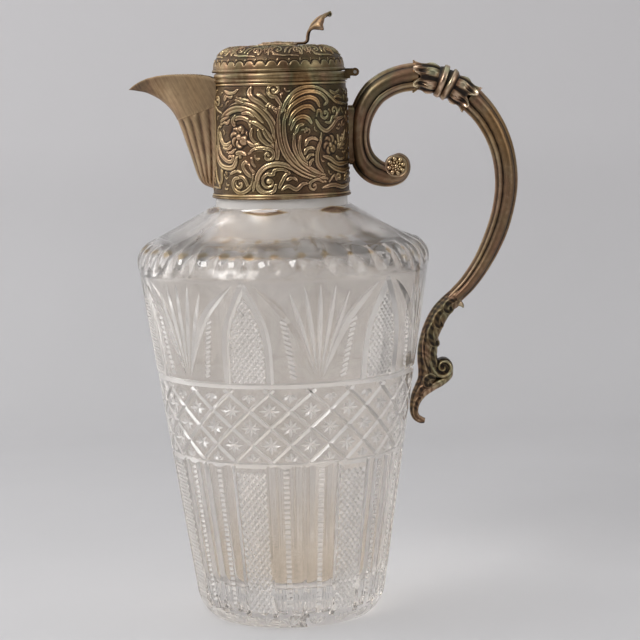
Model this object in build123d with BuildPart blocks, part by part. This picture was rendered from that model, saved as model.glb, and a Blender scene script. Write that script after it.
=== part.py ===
from build123d import *
from math import asin, atan2, cos, degrees, hypot, radians, sin
import os

os.makedirs("parts", exist_ok=True)

# A claret jug: cut glass body, silver collar with a beak spout, hinged lid and a cast scroll handle.
# Millimetres, +Z up. The origin is the centre of the foot's resting plane.
# The spout points along -X and the handle along +X.

# ---------------------------------------------------------------- driving dimensions
# glass body
foot_contact_radius = 37.5
foot_edge_radius = 43.9
foot_edge_height = 12.7
shoulder_radius = 66.1
shoulder_height = 160.0
shoulder_top_radius = 62.2
shoulder_top_height = 171.6
neck_root_radius = 31.5
neck_root_height = 188.0
neck_radius = 30.0
neck_glass_top = 211.0
collar_bottom = 192.0
bedded_neck_radius = 29.0
glass_wall = 5.0
glass_floor = 18.0
floor_crown = 1.5
bore_radius = 24.5
foot_curve_middle = (41.9, 5.4)
inner_shoulder = (53.0, 168.0)

# cutting on the glass: turns are bearings from +X
pattern_turn = -105.0
panel_count = 6
panel_sag = 2.2
panel_low_point = (62.0, 171.8)
panel_high_point = (33.0, 186.6)
panel_cut_reach = 45.0
flute_turn = -98.8
flute_count = 36
flute_height = 168.3
flute_radius = 11.9
flute_depth = 1.2
flute_length = 15.0
flute_lean = -4.0
arch_count = 6
arch_depth = 1.1
arch_side = [(9.4, 113.4), (8.9, 130.0), (7.2, 140.0), (3.2, 150.0), (0.0, 156.5)]
fan_foot = (30.0, 115.5)
fan_tips = [(20.0, 152.0), (24.5, 156.0), (30.0, 157.5), (35.5, 156.0), (40.0, 152.0)]
fan_depth = 0.7
diamond_turn = -105.8
diamond_count = 20
diamond_foot = 78.3
diamond_half_height = 7.8
diamond_rows = 4
diamond_depth = 1.1
column_turn = -107.4
column_count = 21
column_flute_offset = 4.85  # degrees from the middle of the column
column_flute_radius = 6.0
column_flute_depth = 0.7
hatched_every = 3
mitre_depth = 1.3
mitre_height_low = 76.9
mitre_height_high = 113.4
foot_notch_depth = 1.4
foot_notch_length = 24.0

# collar
collar_radius = 31.2
sheet = 1.0
collar_top = 243.8
collar_waist_inset = 0.7
plaster_radius = collar_radius - sheet
band_radius = 30.9
band_inner_radius = 29.4
mouth_height = 248.0
wire_radius = 0.6

# spout
seam_low = (-46.6, 227.4)
seam_high = (-30.0, 233.0)
spout_sheet = 0.9
window_bottom = 214.0

# lid
lid_gap = 0.3
lid_rim_radius = 30.2
lid_rim_height = 1.4
lid_shell = 0.9
lid_top = 260.0
bezel_radius = 28.6
bezel_depth = 1.8
boss_plate_radius = 9.2
boss_radius = 7.6
boss_lobes = 16

# hinge
hinge_x = 34.5
hinge_z = 247.4
knuckle_radius = 1.85
pin_radius = 0.75
pin_clearance = 0.05
centre_knuckle = 6.0
outer_knuckle = 4.0
knuckle_gap = 0.25

# handle: width across the jug at the thick upper part
handle_width = 11.5
volute_centre = (52.3, 204.5)
volute_radius = 5.9
volute_width = 10.0
rosette_height = 1.7
pad_bottom = 205.5
pad_top = 232.5
pad_width = 6.0


def finish(part, label):
    """Label a piece and write it to its own file."""
    part.label = label
    export_step(part, f"parts/{label}.step")


def ring(inner, outer, bottom, top):
    """A plain tube about the jug's axis."""
    with BuildPart() as tube:
        with BuildSketch(Plane.XY.offset(bottom)):
            Circle(outer)
            Circle(inner, mode=Mode.SUBTRACT)
        extrude(amount=top - bottom)
    return tube.part


def side_plate(outline, half_width):
    """A plate in the XZ plane, as thick as the jug's side view needs."""
    with BuildPart() as plate:
        with BuildSketch(Plane.XZ):
            add(outline)
        extrude(amount=half_width, both=True)
    return plate.part


# ---------------------------------------------------------------- glass body
def wall_radius(height):
    """Outer radius of the glass at a height, between the foot's edge and the shoulder."""
    share = (height - foot_edge_height) / (shoulder_height - foot_edge_height)
    return foot_edge_radius + share * (shoulder_radius - foot_edge_radius)


foot_lean = degrees(asin((foot_edge_radius - foot_contact_radius)
                         / hypot(foot_edge_radius - foot_contact_radius, foot_edge_height)))
wall_lean = degrees(asin((shoulder_radius - foot_edge_radius)
                         / hypot(shoulder_radius - foot_edge_radius, shoulder_height - foot_edge_height)))



def wall_place(turn, height, out=0.0, tilt=0.0):
    """A place on the wall: its X axis points out of the glass and its Z axis runs up the wall."""
    return (Location((0, 0, 0), (0, 0, turn))
            * Location((wall_radius(height) + out, 0, height), (0, wall_lean, 0))
            * Location((0, 0, 0), (tilt, 0, 0)))


def mitre_places(path, first_turn, count):
    """Places of the straight cuts along a path of (turn, height) points, repeated round the wall."""
    places = []
    for (turn, height), (next_turn, next_height) in zip(path, path[1:]):
        middle = ((turn + next_turn) / 2, (height + next_height) / 2)
        across = radians(next_turn - turn) * wall_radius(middle[1])
        tilt = -degrees(atan2(across, next_height - height))
        places += [wall_place(first_turn + middle[0] + k * 360 / count, middle[1], 0, tilt)
                   for k in range(count)]
    return places


def mitre_length(path):
    """Length of the longest straight cut along a path."""
    return max(hypot(radians(next_turn - turn) * wall_radius(height), next_height - height)
               for (turn, height), (next_turn, next_height) in zip(path, path[1:]))


def mitre_bar(depth, length):
    """A square bar on edge, which leaves a mitre of the depth."""
    with BuildPart() as bar:
        with Locations(Location((0, 0, 0), (0, 0, 45))):
            Box(depth * 2 ** 0.5, depth * 2 ** 0.5, length)
    return bar.part


with BuildPart() as glass_body:
    with BuildSketch(Plane.XZ):
        with BuildLine():
            Line((0, 0), (foot_contact_radius, 0))
            ThreePointArc((foot_contact_radius, 0), foot_curve_middle, (foot_edge_radius, foot_edge_height))
            Line((foot_edge_radius, foot_edge_height), (shoulder_radius, shoulder_height))
            ThreePointArc((shoulder_radius, shoulder_height), (66.2, 166.6),
                          (shoulder_top_radius, shoulder_top_height))
            Line((shoulder_top_radius, shoulder_top_height), (neck_root_radius, neck_root_height))
            Line((neck_root_radius, neck_root_height), (neck_radius, neck_root_height))
            Line((neck_radius, neck_root_height), (neck_radius, collar_bottom))
            Line((neck_radius, collar_bottom), (bedded_neck_radius, collar_bottom))
            Line((bedded_neck_radius, collar_bottom), (bedded_neck_radius, neck_glass_top))
            Line((bedded_neck_radius, neck_glass_top), (bore_radius, neck_glass_top))
            Line((bore_radius, neck_glass_top), (bore_radius, neck_root_height))
            ThreePointArc((bore_radius, neck_root_height), (31.0, 178.0), inner_shoulder)
            ThreePointArc(inner_shoulder, (59.2, 164.4), (shoulder_radius - glass_wall, 158.0))
            Line((shoulder_radius - glass_wall, 158.0), (foot_edge_radius - glass_wall, glass_floor + 6))
            ThreePointArc((foot_edge_radius - glass_wall, glass_floor + 6), (36.4, glass_floor + 1.8),
                          (30.0, glass_floor))
            Line((30.0, glass_floor), (0, glass_floor + floor_crown))
            Line((0, glass_floor + floor_crown), (0, 0))
        make_face()
    revolve(axis=Axis.Z)

    # six broad hollows cut on the shoulder, each as wide as a sixth of the round
    panel_middle = ((panel_low_point[0] + panel_high_point[0]) / 2 - panel_sag * 0.47,
                    (panel_low_point[1] + panel_high_point[1]) / 2 - panel_sag * 0.88)
    with PolarLocations(0, panel_count, start_angle=pattern_turn):
        with BuildSketch(Plane.XZ):
            with BuildLine():
                ThreePointArc(panel_low_point, panel_middle, panel_high_point)
                Line(panel_high_point, (panel_high_point[0], 192))
                Line((panel_high_point[0], 192), (80, 192))
                Line((80, 192), panel_low_point)
            make_face()
        extrude(amount=panel_cut_reach, both=True, mode=Mode.SUBTRACT)

    # upright hollow flutes along the shoulder's edge
    flute_axis_radius = shoulder_radius + flute_radius - flute_depth
    with PolarLocations(0, flute_count, start_angle=flute_turn):
        with Locations(Location((flute_axis_radius, 0, flute_height), (0, flute_lean, 0))):
            Cylinder(flute_radius, flute_length, mode=Mode.SUBTRACT)

    # arches with a fan of rays between each two
    for side in (-1, 1):
        arch_edge = [(side * turn, height) for turn, height in arch_side]
        with Locations(*mitre_places(arch_edge, pattern_turn, arch_count)):
            add(mitre_bar(arch_depth, mitre_length(arch_edge)), mode=Mode.SUBTRACT)
    for tip in fan_tips:
        with Locations(*mitre_places([fan_foot, tip], pattern_turn, arch_count)):
            add(mitre_bar(fan_depth, mitre_length([fan_foot, tip])), mode=Mode.SUBTRACT)

    # the band of diamonds: crossing mitres that climb half a diamond at a time
    for side in (-1, 1):
        climb = [(side * 180 / diamond_count * k, diamond_foot + diamond_half_height * k)
                 for k in range(diamond_rows + 1)]
        with Locations(*mitre_places(climb, diamond_turn + 180 / diamond_count, diamond_count)):
            add(mitre_bar(diamond_depth, mitre_length(climb)), mode=Mode.SUBTRACT)

    # columns of the lower body, parted by mitres; every third one is left whole for its hatching
    column_middle = (foot_edge_height + mitre_height_low) / 2
    column_length = (mitre_height_low - foot_edge_height) / cos(radians(wall_lean))
    column_step = 360 / column_count
    column_joints = [wall_place(column_turn + column_step * (k + 0.5), column_middle)
                     for k in range(column_count)]
    with Locations(*column_joints):
        add(mitre_bar(mitre_depth, column_length), mode=Mode.SUBTRACT)
    fluted_columns = [k for k in range(column_count) if k % hatched_every]
    column_flutes = [wall_place(column_turn + column_step * k + side * column_flute_offset, column_middle,
                                column_flute_radius - column_flute_depth)
                     for k in fluted_columns for side in (-1, 1)]
    with Locations(*column_flutes):
        Cylinder(column_flute_radius, column_length, mode=Mode.SUBTRACT)

    # level mitres above and below the band of diamonds
    with BuildSketch(Plane.XZ):
        for height in (mitre_height_low, mitre_height_high):
            with Locations(Location((wall_radius(height), height), 45)):
                Rectangle(mitre_depth * 2 ** 0.5, mitre_depth * 2 ** 0.5)
    revolve(axis=Axis.Z, mode=Mode.SUBTRACT)

    # notches that scallop the foot below each mitre
    with PolarLocations(0, column_count, start_angle=column_turn + 180 / column_count):
        with Locations(Location((foot_curve_middle[0], 0, foot_curve_middle[1]), (0, foot_lean, 0))):
            with Locations(Location((0, 0, 0), (0, 0, 45))):
                Box(foot_notch_depth * 2 ** 0.5, foot_notch_depth * 2 ** 0.5, foot_notch_length, mode=Mode.SUBTRACT)
# the slivers that the crossing cuts leave loose are no part of the vessel
vessel = glass_body.part.solids().sort_by(SortBy.VOLUME)[-1]
finish(vessel, "glass_body")

# ---------------------------------------------------------------- neck bedding
neck_plaster = ring(bedded_neck_radius, plaster_radius, collar_bottom, neck_glass_top)
finish(neck_plaster, "neck_plaster")

neck_cover_ring = ring(bore_radius + 0.3, plaster_radius, neck_glass_top, neck_glass_top + sheet)
finish(neck_cover_ring, "neck_cover_ring")


# ---------------------------------------------------------------- spout
# stations along the spout: x, half width at the top, height of the keel
spout_stations = [
    (-27.0, 12.6, 193.9),
    (-31.5, 12.0, 195.8),
    (-37.0, 10.7, 199.6),
    (-41.5, 9.4, 212.6),
    (-46.6, 7.9, 227.4),
    (-52.0, 6.4, 235.0),
    (-58.9, 4.7, 239.5),
    (-64.5, 3.2, 241.0),
    (-68.3, 1.8, 241.6),
]
spout_ceiling = 252.0


def spout_section(half_width, keel):
    """A deep U, closed along the ceiling."""
    depth = spout_ceiling - keel
    with BuildSketch() as section:
        with BuildLine():
            Line((-half_width, 0), (half_width, 0))
            Bezier((half_width, 0), (half_width, -0.75 * depth), (0.75 * half_width, -depth), (0, -depth))
            Bezier((0, -depth), (-0.75 * half_width, -depth), (-half_width, -0.75 * depth), (-half_width, 0))
        make_face()
    return section.sketch


def spout_solid(inset):
    """The spout's filled shape, drawn in all round by the inset."""
    with BuildPart() as solid:
        for x, half_width, keel in spout_stations:
            with BuildSketch(Plane(origin=(x + inset, 0, spout_ceiling), x_dir=(0, 1, 0), z_dir=(1, 0, 0))):
                add(spout_section(max(half_width - inset, 0.5), keel + inset))
        loft()
    return solid.part


with BuildSketch() as rim_side_view:
    with BuildLine():
        Line((-75, 190), (-75, 240.9))
        Line((-75, 240.9), (-68.3, 241.6))
        ThreePointArc((-68.3, 241.6), (-59.5, 246.6), (-45.0, 248.2))
        ThreePointArc((-45.0, 248.2), (-36.0, 247.9), (-27.0, 245.2))
        Line((-27.0, 245.2), (-20, 245.2))
        Line((-20, 245.2), (-20, 190))
        Line((-20, 190), (-75, 190))
    make_face()

seam_slope = (seam_high[1] - seam_low[1]) / (seam_high[0] - seam_low[0])
seam_far_left = (-75.0, seam_low[1] + seam_slope * (-75.0 - seam_low[0]))
seam_far_right = (-20.0, seam_low[1] + seam_slope * (-20.0 - seam_low[0]))
with BuildSketch() as above_seam_view:
    Polygon(seam_far_left, seam_far_right, (-20, 260), (-75, 260), align=None)

spout_filled = spout_solid(0)
spout_channel = spout_solid(spout_sheet)
below_rim = side_plate(rim_side_view.sketch, 20)
above_seam = side_plate(above_seam_view.sketch, 20)
collar_core = ring(0.001, collar_radius, 180, 260)

with BuildPart() as spout_shell:
    add(spout_filled)
    add(spout_channel, mode=Mode.SUBTRACT)
    add(below_rim, mode=Mode.INTERSECT)
    add(collar_core, mode=Mode.SUBTRACT)

with BuildPart() as spout_lip:
    add(spout_shell.part)
    add(above_seam, mode=Mode.INTERSECT)
finish(spout_lip.part, "spout_lip")

with BuildPart() as spout_flutes:
    add(spout_shell.part)
    add(above_seam, mode=Mode.SUBTRACT)
finish(spout_flutes.part, "spout_flutes")

# ---------------------------------------------------------------- collar
with BuildPart() as window:
    add(spout_channel)
    with BuildSketch(Plane.XY.offset(window_bottom)):
        with Locations((-30, 0)):
            Rectangle(30, 40)
    extrude(amount=60, mode=Mode.INTERSECT)

with BuildPart() as collar_sleeve:
    with BuildSketch(Plane.XZ):
        with BuildLine():
            Line((plaster_radius, collar_bottom), (collar_radius, collar_bottom))
            Line((collar_radius, collar_bottom), (collar_radius, 238.0))
            ThreePointArc((collar_radius, 238.0), (collar_radius - 0.9 * collar_waist_inset, 241.0),
                          (collar_radius - collar_waist_inset, collar_top))
            Line((collar_radius - collar_waist_inset, collar_top),
                 (collar_radius - collar_waist_inset - sheet, collar_top))
            Line((collar_radius - collar_waist_inset - sheet, collar_top), (plaster_radius, 238.0))
            Line((plaster_radius, 238.0), (plaster_radius, collar_bottom))
        make_face()
    revolve(axis=Axis.Z)
    add(window.part, mode=Mode.SUBTRACT)
finish(collar_sleeve.part, "collar_sleeve")

with BuildPart() as collar_top_band:
    with BuildSketch(Plane.XZ):
        with BuildLine():
            Line((band_inner_radius, collar_top), (band_radius - 0.3, collar_top))
            ThreePointArc((band_radius - 0.3, collar_top), (band_radius + 0.35, collar_top + 0.7),
                          (band_radius - 0.3, collar_top + 1.4))
            Line((band_radius - 0.3, collar_top + 1.4), (band_radius - 0.3, collar_top + 1.7))
            ThreePointArc((band_radius - 0.3, collar_top + 1.7), (band_radius + 0.2, collar_top + 3.0),
                          (band_radius - 0.6, mouth_height))
            Line((band_radius - 0.6, mouth_height), (band_inner_radius, mouth_height))
            Line((band_inner_radius, mouth_height), (band_inner_radius, collar_top))
        make_face()
    revolve(axis=Axis.Z)
    add(window.part, mode=Mode.SUBTRACT)
    add(spout_shell.part, mode=Mode.SUBTRACT)
finish(collar_top_band.part, "collar_top_band")

with BuildPart() as collar_foot_wire:
    with BuildSketch(Plane.XZ):
        with Locations((collar_radius - 0.1, collar_bottom + wire_radius)):
            Circle(wire_radius)
        with Locations((collar_radius - 5, collar_bottom)):
            Rectangle(5, 5, align=(Align.MIN, Align.MIN), mode=Mode.SUBTRACT)
    revolve(axis=Axis.Z)
finish(collar_foot_wire.part, "collar_foot_wire")


# ---------------------------------------------------------------- handle
def station_plane(x, z, bearing):
    """A plane across the handle; the bearing of its path is in degrees up from +X."""
    along = (cos(radians(bearing)), 0, sin(radians(bearing)))
    outward = (-sin(radians(bearing)), 0, cos(radians(bearing)))
    return Plane(origin=(x, 0, z), x_dir=outward, z_dir=along)


def moulded_section(thickness, width):
    """A reeded section: outer rib, wide middle reed and inner bead, parted by shallow coves."""
    outer_cove = (0.24 * thickness, 0.33 * width)
    inner_cove = (-0.24 * thickness, 0.33 * width)
    with BuildSketch() as section:
        with BuildLine():
            TangentArc((0.5 * thickness, 0), outer_cove, tangent=(0, 1))
            ThreePointArc(outer_cove, (0, 0.5 * width), inner_cove)
            TangentArc((-0.5 * thickness, 0), inner_cove, tangent=(0, 1))
            mirror(about=Plane.XZ)
        make_face()
    return section.sketch


def reeded_bar(stations):
    """Loft the moulded section through stations: x, z, bearing, thickness, width."""
    with BuildPart() as bar:
        for x, z, bearing, thickness, width in stations:
            with BuildSketch(station_plane(x, z, bearing)):
                add(moulded_section(thickness, width))
        loft()
    return bar.part


def oval_bar(stations):
    """Loft ovals through stations: x, z, bearing, thickness, width."""
    with BuildPart() as bar:
        for x, z, bearing, thickness, width in stations:
            with BuildSketch(station_plane(x, z, bearing)):
                Ellipse(thickness / 2, width / 2)
        loft()
    return bar.part


upper_scroll_stations = [
    (52.8, 200.2, 180 + 8, 9.0, 9.4),
    (47.0, 200.4, 180 - 4, 11.2, 9.8),
    (41.6, 202.7, 180 - 42, 11.8, 10.2),
    (37.9, 207.2, 180 - 64, 11.4, 10.4),
    (36.2, 213.5, 94, 9.6, 10.4),
    (36.2, 221.0, 82, 9.2, 10.6),
    (37.8, 229.2, 69, 11.0, 10.8),
    (42.2, 236.6, 47, 11.8, 11.2),
    (47.6, 240.8, 29, 12.1, handle_width),
    (53.8, 243.4, 16, 12.3, handle_width),
    (60.0, 244.5, 4, 12.6, handle_width),
]
with BuildPart() as handle_upper_scroll:
    add(reeded_bar(upper_scroll_stations))
    with Locations(Location((volute_centre[0], 0, volute_centre[1]), (90, 0, 0))):
        Cylinder(volute_radius, volute_width)
finish(handle_upper_scroll.part, "handle_upper_scroll")

sheath_front_stations = [
    (60.0, 244.5, 4, 14.6, 13.4),
    (63.5, 244.5, 0, 13.4, 13.0),
    (68.5, 243.8, -9, 14.4, 13.8),
    (72.4, 242.8, -17, 13.2, 12.6),
]
handle_leaf_sheath_front = oval_bar(sheath_front_stations)
finish(handle_leaf_sheath_front, "handle_leaf_sheath_front")

band_stations = [
    (72.4, 242.8, -17, 14.2, 13.6),
    (74.0, 242.2, -20, 15.4, 14.6),
    (75.7, 241.5, -23, 14.2, 13.6),
    (77.2, 240.7, -26, 15.2, 14.4),
    (78.7, 239.9, -29, 14.0, 13.4),
]
handle_band = oval_bar(band_stations)
finish(handle_band, "handle_band")

sheath_rear_stations = [
    (78.7, 239.9, -29, 13.2, 12.8),
    (82.4, 237.5, -34, 14.4, 13.8),
    (86.0, 234.7, -40, 13.4, 13.0),
    (88.6, 232.3, -44, 14.2, 13.2),
]
handle_leaf_sheath_rear = oval_bar(sheath_rear_stations)
finish(handle_leaf_sheath_rear, "handle_leaf_sheath_rear")

lower_bow_stations = [
    (88.6, 232.3, -44, 11.8, handle_width),
    (93.6, 226.4, -54, 11.4, 11.2),
    (98.4, 217.8, -66, 11.0, 10.8),
    (101.6, 207.5, -79, 10.6, 10.4),
    (102.6, 196.0, -91, 10.4, 10.0),
    (101.1, 184.5, -102, 9.9, 9.6),
    (97.4, 172.5, -112, 9.6, 9.2),
    (91.6, 160.5, -121, 8.6, 8.8),
    (84.8, 150.6, -130, 7.9, 8.4),
    (78.3, 144.0, -138, 7.3, 8.0),
]
handle_lower_bow = reeded_bar(lower_bow_stations)
finish(handle_lower_bow, "handle_lower_bow")

foot_stem_stations = [
    (78.3, 144.0, -138, 7.3, 8.0),
    (72.4, 138.1, -129, 8.4, 8.8),
    (68.0, 131.6, -119, 8.6, 9.0),
    (65.1, 124.4, -99, 8.2, 8.8),
    (64.8, 117.5, -88, 9.2, 9.0),
    (65.8, 110.5, -92, 10.2, 8.8),
    (64.4, 104.0, -118, 8.8, 8.0),
    (60.4, 98.6, -122, 6.2, 6.8),
    (58.4, 93.4, -96, 4.2, 5.6),
    (59.6, 88.6, -50, 3.6, 4.6),
    (62.8, 86.6, -14, 2.8, 3.6),
]
foot_curl_centre = (71.6, 110.4)
foot_curl_radius = 5.4
foot_curl_width = 8.6
with BuildPart() as handle_foot_scroll:
    add(oval_bar(foot_stem_stations))
    with Locations(Location((foot_curl_centre[0], 0, foot_curl_centre[1]), (90, 0, 0))):
        Cylinder(foot_curl_radius, foot_curl_width)
    # the web that runs from the curl down into the tail
    with BuildSketch(Plane.XZ):
        with BuildLine():
            ThreePointArc((75.8, 106.9), (69.0, 103.2), (62.8, 98.6))
            Line((62.8, 98.6), (62.0, 104.0))
            Line((62.0, 104.0), (70.0, 110.0))
            Line((70.0, 110.0), (75.8, 106.9))
        make_face()
    extrude(amount=3.2, both=True)
    # the spur of the leaf on the back
    with BuildSketch(Plane.XZ):
        Polygon((78.9, 143.1), (80.7, 141.3), (82.2, 138.8), (76.0, 137.4), (73.5, 138.6), align=None)
    extrude(amount=1.4, both=True)
finish(handle_foot_scroll.part, "handle_foot_scroll")

with BuildPart() as handle_pad:
    with BuildSketch(Plane.YZ.offset(collar_radius - 2)):
        with Locations((0, (pad_bottom + pad_top) / 2)):
            SlotOverall(pad_top - pad_bottom, pad_width, rotation=90)
    extrude(amount=7)
    add(collar_core, mode=Mode.SUBTRACT)
    add(handle_upper_scroll.part, mode=Mode.SUBTRACT)
finish(handle_pad.part, "handle_pad")


def rosette(side):
    """A flower boss of eight petals on one face of the volute."""
    face = side * volute_width / 2
    with BuildPart() as flower:
        with BuildSketch(Plane.XZ.offset(-face)):
            with Locations(volute_centre):
                with PolarLocations(volute_radius * 0.62, 8):
                    Circle(volute_radius * 0.3)
                Circle(volute_radius * 0.62)
        extrude(amount=-side * rosette_height)
        with Locations((volute_centre[0], face + side * rosette_height * 0.7, volute_centre[1])):
            Sphere(volute_radius * 0.3)
        add(handle_upper_scroll.part, mode=Mode.SUBTRACT)
    return flower.part


rosette_near = rosette(-1)
finish(rosette_near, "rosette_near")
rosette_far = rosette(1)
finish(rosette_far, "rosette_far")

# ---------------------------------------------------------------- lid
lid_bottom = mouth_height + lid_gap
dome_bottom = lid_bottom + lid_rim_height

with BuildPart() as lid_dome:
    with BuildSketch(Plane.XZ):
        with BuildLine():
            Line((0, lid_top), (17.5, lid_top - 0.6))
            ThreePointArc((17.5, lid_top - 0.6), (26.6, 257.2), (lid_rim_radius - 0.4, dome_bottom))
            Line((lid_rim_radius - 0.4, dome_bottom), (lid_rim_radius - 0.4 - lid_shell, dome_bottom))
            ThreePointArc((lid_rim_radius - 0.4 - lid_shell, dome_bottom), (25.9, 256.5),
                          (17.2, lid_top - 0.6 - lid_shell))
            Line((17.2, lid_top - 0.6 - lid_shell), (0, lid_top - lid_shell))
            Line((0, lid_top - lid_shell), (0, lid_top))
        make_face()
    revolve(axis=Axis.Z)
finish(lid_dome.part, "lid_dome")

with BuildPart() as lid_rim_wire:
    with BuildSketch(Plane.XZ):
        with BuildLine():
            Line((bezel_radius, lid_bottom), (lid_rim_radius - 0.2, lid_bottom))
            ThreePointArc((lid_rim_radius - 0.2, lid_bottom), (lid_rim_radius + 0.1, lid_bottom + 0.7),
                          (lid_rim_radius - 0.2, dome_bottom))
            Line((lid_rim_radius - 0.2, dome_bottom), (bezel_radius, dome_bottom))
            Line((bezel_radius, dome_bottom), (bezel_radius, lid_bottom))
        make_face()
    revolve(axis=Axis.Z)
finish(lid_rim_wire.part, "lid_rim_wire")

lid_bezel = ring(bezel_radius - 0.8, bezel_radius, mouth_height - bezel_depth, dome_bottom - 0.2)
finish(lid_bezel, "lid_bezel")

with BuildPart() as lid_boss:
    with BuildSketch(Plane.XY.offset(lid_top + 1.0)):
        Circle(boss_radius - 0.6)
        with PolarLocations(boss_radius - 0.7, boss_lobes):
            Circle(0.9)
    extrude(amount=0.5)
    with BuildSketch(Plane.XY.offset(lid_top + 1.5)):
        Circle(boss_radius * 0.62)
    extrude(amount=0.5, taper=30)
finish(lid_boss.part, "lid_boss")

tongue_end = 13.4
tongue_width = 5.0
plate_height = 1.0
plate_bottom = lid_top
with BuildPart() as thumbpiece:
    with BuildSketch(Plane.XY.offset(plate_bottom)):
        Circle(boss_plate_radius)
        with Locations((tongue_end / 2, 0)):
            Rectangle(tongue_end, tongue_width)
    extrude(amount=plate_height)
    # the leaf rises from the tongue's end and leans back
    with BuildSketch(Plane.XZ):
        with BuildLine():
            Line((tongue_end - 1.2, plate_bottom), (tongue_end + 0.6, plate_bottom))
            ThreePointArc((tongue_end + 0.6, plate_bottom), (15.8, 267.0), (24.6, 273.6))
            Line((24.6, 273.6), (24.9, 275.0))
            ThreePointArc((24.9, 275.0), (15.2, 269.8), (tongue_end - 1.2, plate_bottom))
        make_face()
    extrude(amount=tongue_width / 2, both=True)
    # side lobes that droop from the leaf
    with BuildSketch(Plane.XZ):
        with BuildLine():
            Line((15.4, 267.8), (22.8, 273.4))
            ThreePointArc((22.8, 273.4), (22.4, 268.4), (18.4, 264.6))
            ThreePointArc((18.4, 264.6), (16.4, 265.4), (15.4, 267.8))
        make_face()
    extrude(amount=5.6, both=True)
finish(thumbpiece.part, "thumbpiece")

# ---------------------------------------------------------------- hinge
pin_length = centre_knuckle + 2 * (outer_knuckle + knuckle_gap)
with BuildPart() as hinge_pin:
    with Locations(Location((hinge_x, 0, hinge_z), (90, 0, 0))):
        Cylinder(pin_radius, pin_length)
finish(hinge_pin.part, "hinge_pin")

leaf_root_x = 30.0
with BuildPart() as hinge_leaf_collar:
    for side in (-1, 1):
        knuckle_y = side * (centre_knuckle / 2 + knuckle_gap + outer_knuckle / 2)
        with Locations(Location((hinge_x, knuckle_y, hinge_z), (90, 0, 0))):
            Cylinder(knuckle_radius, outer_knuckle)
        with Locations(((leaf_root_x + hinge_x) / 2, knuckle_y, hinge_z - 0.25)):
            Box(hinge_x - leaf_root_x, outer_knuckle, 2.9)
    with Locations(((leaf_root_x + 32.3) / 2, 0, hinge_z - 1.9)):
        Box(32.3 - leaf_root_x, pin_length, 1.8)
    with Locations(Location((hinge_x, 0, hinge_z), (90, 0, 0))):
        Cylinder(pin_radius, pin_length + 1, mode=Mode.SUBTRACT)
        Cylinder(knuckle_radius + 0.35, centre_knuckle + 2 * knuckle_gap, mode=Mode.SUBTRACT)
    add(ring(0.001, lid_rim_radius + 0.6, mouth_height, 260), mode=Mode.SUBTRACT)
    add(ring(0.001, band_radius - 0.4, 180, 260), mode=Mode.SUBTRACT)
    add(collar_top_band.part, mode=Mode.SUBTRACT)
    add(collar_sleeve.part, mode=Mode.SUBTRACT)
finish(hinge_leaf_collar.part, "hinge_leaf_collar")

with BuildPart() as hinge_leaf_lid:
    with Locations(Location((hinge_x, 0, hinge_z), (90, 0, 0))):
        Cylinder(knuckle_radius, centre_knuckle)
    with Locations(((28.9 + hinge_x) / 2, 0, lid_bottom + 0.4)):
        Box(hinge_x - 28.9, centre_knuckle, 0.8)
    with Locations(Location((hinge_x, 0, hinge_z), (90, 0, 0))):
        Cylinder(pin_radius + pin_clearance, centre_knuckle + 1, mode=Mode.SUBTRACT)
    add(ring(0.001, lid_rim_radius + 0.15, 180, 260), mode=Mode.SUBTRACT)
finish(hinge_leaf_lid.part, "hinge_leaf_lid")
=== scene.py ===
from math import atan2, cos, degrees, hypot, pi, radians, sin

import bmesh
import bpy
import numpy as np
from mathutils import Matrix, Vector


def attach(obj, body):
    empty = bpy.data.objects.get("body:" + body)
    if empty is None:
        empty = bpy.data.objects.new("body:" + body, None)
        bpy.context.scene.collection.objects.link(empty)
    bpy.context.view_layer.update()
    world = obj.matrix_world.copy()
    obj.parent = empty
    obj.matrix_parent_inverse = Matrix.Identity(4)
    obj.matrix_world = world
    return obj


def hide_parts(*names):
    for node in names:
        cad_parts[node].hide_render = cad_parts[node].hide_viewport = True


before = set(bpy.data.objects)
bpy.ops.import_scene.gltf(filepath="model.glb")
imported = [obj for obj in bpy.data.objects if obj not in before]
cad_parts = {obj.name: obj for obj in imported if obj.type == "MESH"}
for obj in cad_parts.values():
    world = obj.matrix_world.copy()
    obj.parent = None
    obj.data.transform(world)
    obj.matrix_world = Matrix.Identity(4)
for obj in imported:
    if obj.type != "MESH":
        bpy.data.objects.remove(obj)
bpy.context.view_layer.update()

# A claret jug: wheel-cut glass body, chased silver collar and lid, cast scroll handle.
# Sizes below are in millimetres, as in the frame; meshes are made in metres.
# The jug's axis is Z, the spout points along -X and the handle along +X.
# Turns are bearings from +X.
MM = 0.001

# ---------------------------------------------------------------- glass sizes
foot_contact_radius = 37.5
foot_edge = (43.9, 12.7)
shoulder_edge = (66.1, 160.0)
shoulder_bulge = (66.2, 166.6)
shoulder_top = (62.2, 171.6)
widest_radius = 66.6
neck_root = (31.5, 188.0)
neck_radius = 30.0
bedded_neck_radius = 29.0
collar_bottom = 192.0
neck_glass_top = 211.0
bore_radius = 24.5


# ---------------------------------------------------------------- meshes
def arc_points(start, middle, end, count):
    """Points on the arc through three points, both ends included."""
    (ax, ay), (bx, by), (cx, cy) = start, middle, end
    d = 2 * (ax * (by - cy) + bx * (cy - ay) + cx * (ay - by))
    aa, bb, cc = ax**2 + ay**2, bx**2 + by**2, cx**2 + cy**2
    ux = (aa * (by - cy) + bb * (cy - ay) + cc * (ay - by)) / d
    uy = (aa * (cx - bx) + bb * (ax - cx) + cc * (bx - ax)) / d
    radius = hypot(ax - ux, ay - uy)
    first, mid, last = (atan2(y - uy, x - ux) for x, y in (start, middle, end))
    turn = (last - first) % (2 * pi)
    if (mid - first) % (2 * pi) > turn:
        turn -= 2 * pi
    steps = [first + turn * k / (count - 1) for k in range(count)]
    return [(ux + radius * cos(t), uy + radius * sin(t)) for t in steps]


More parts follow.
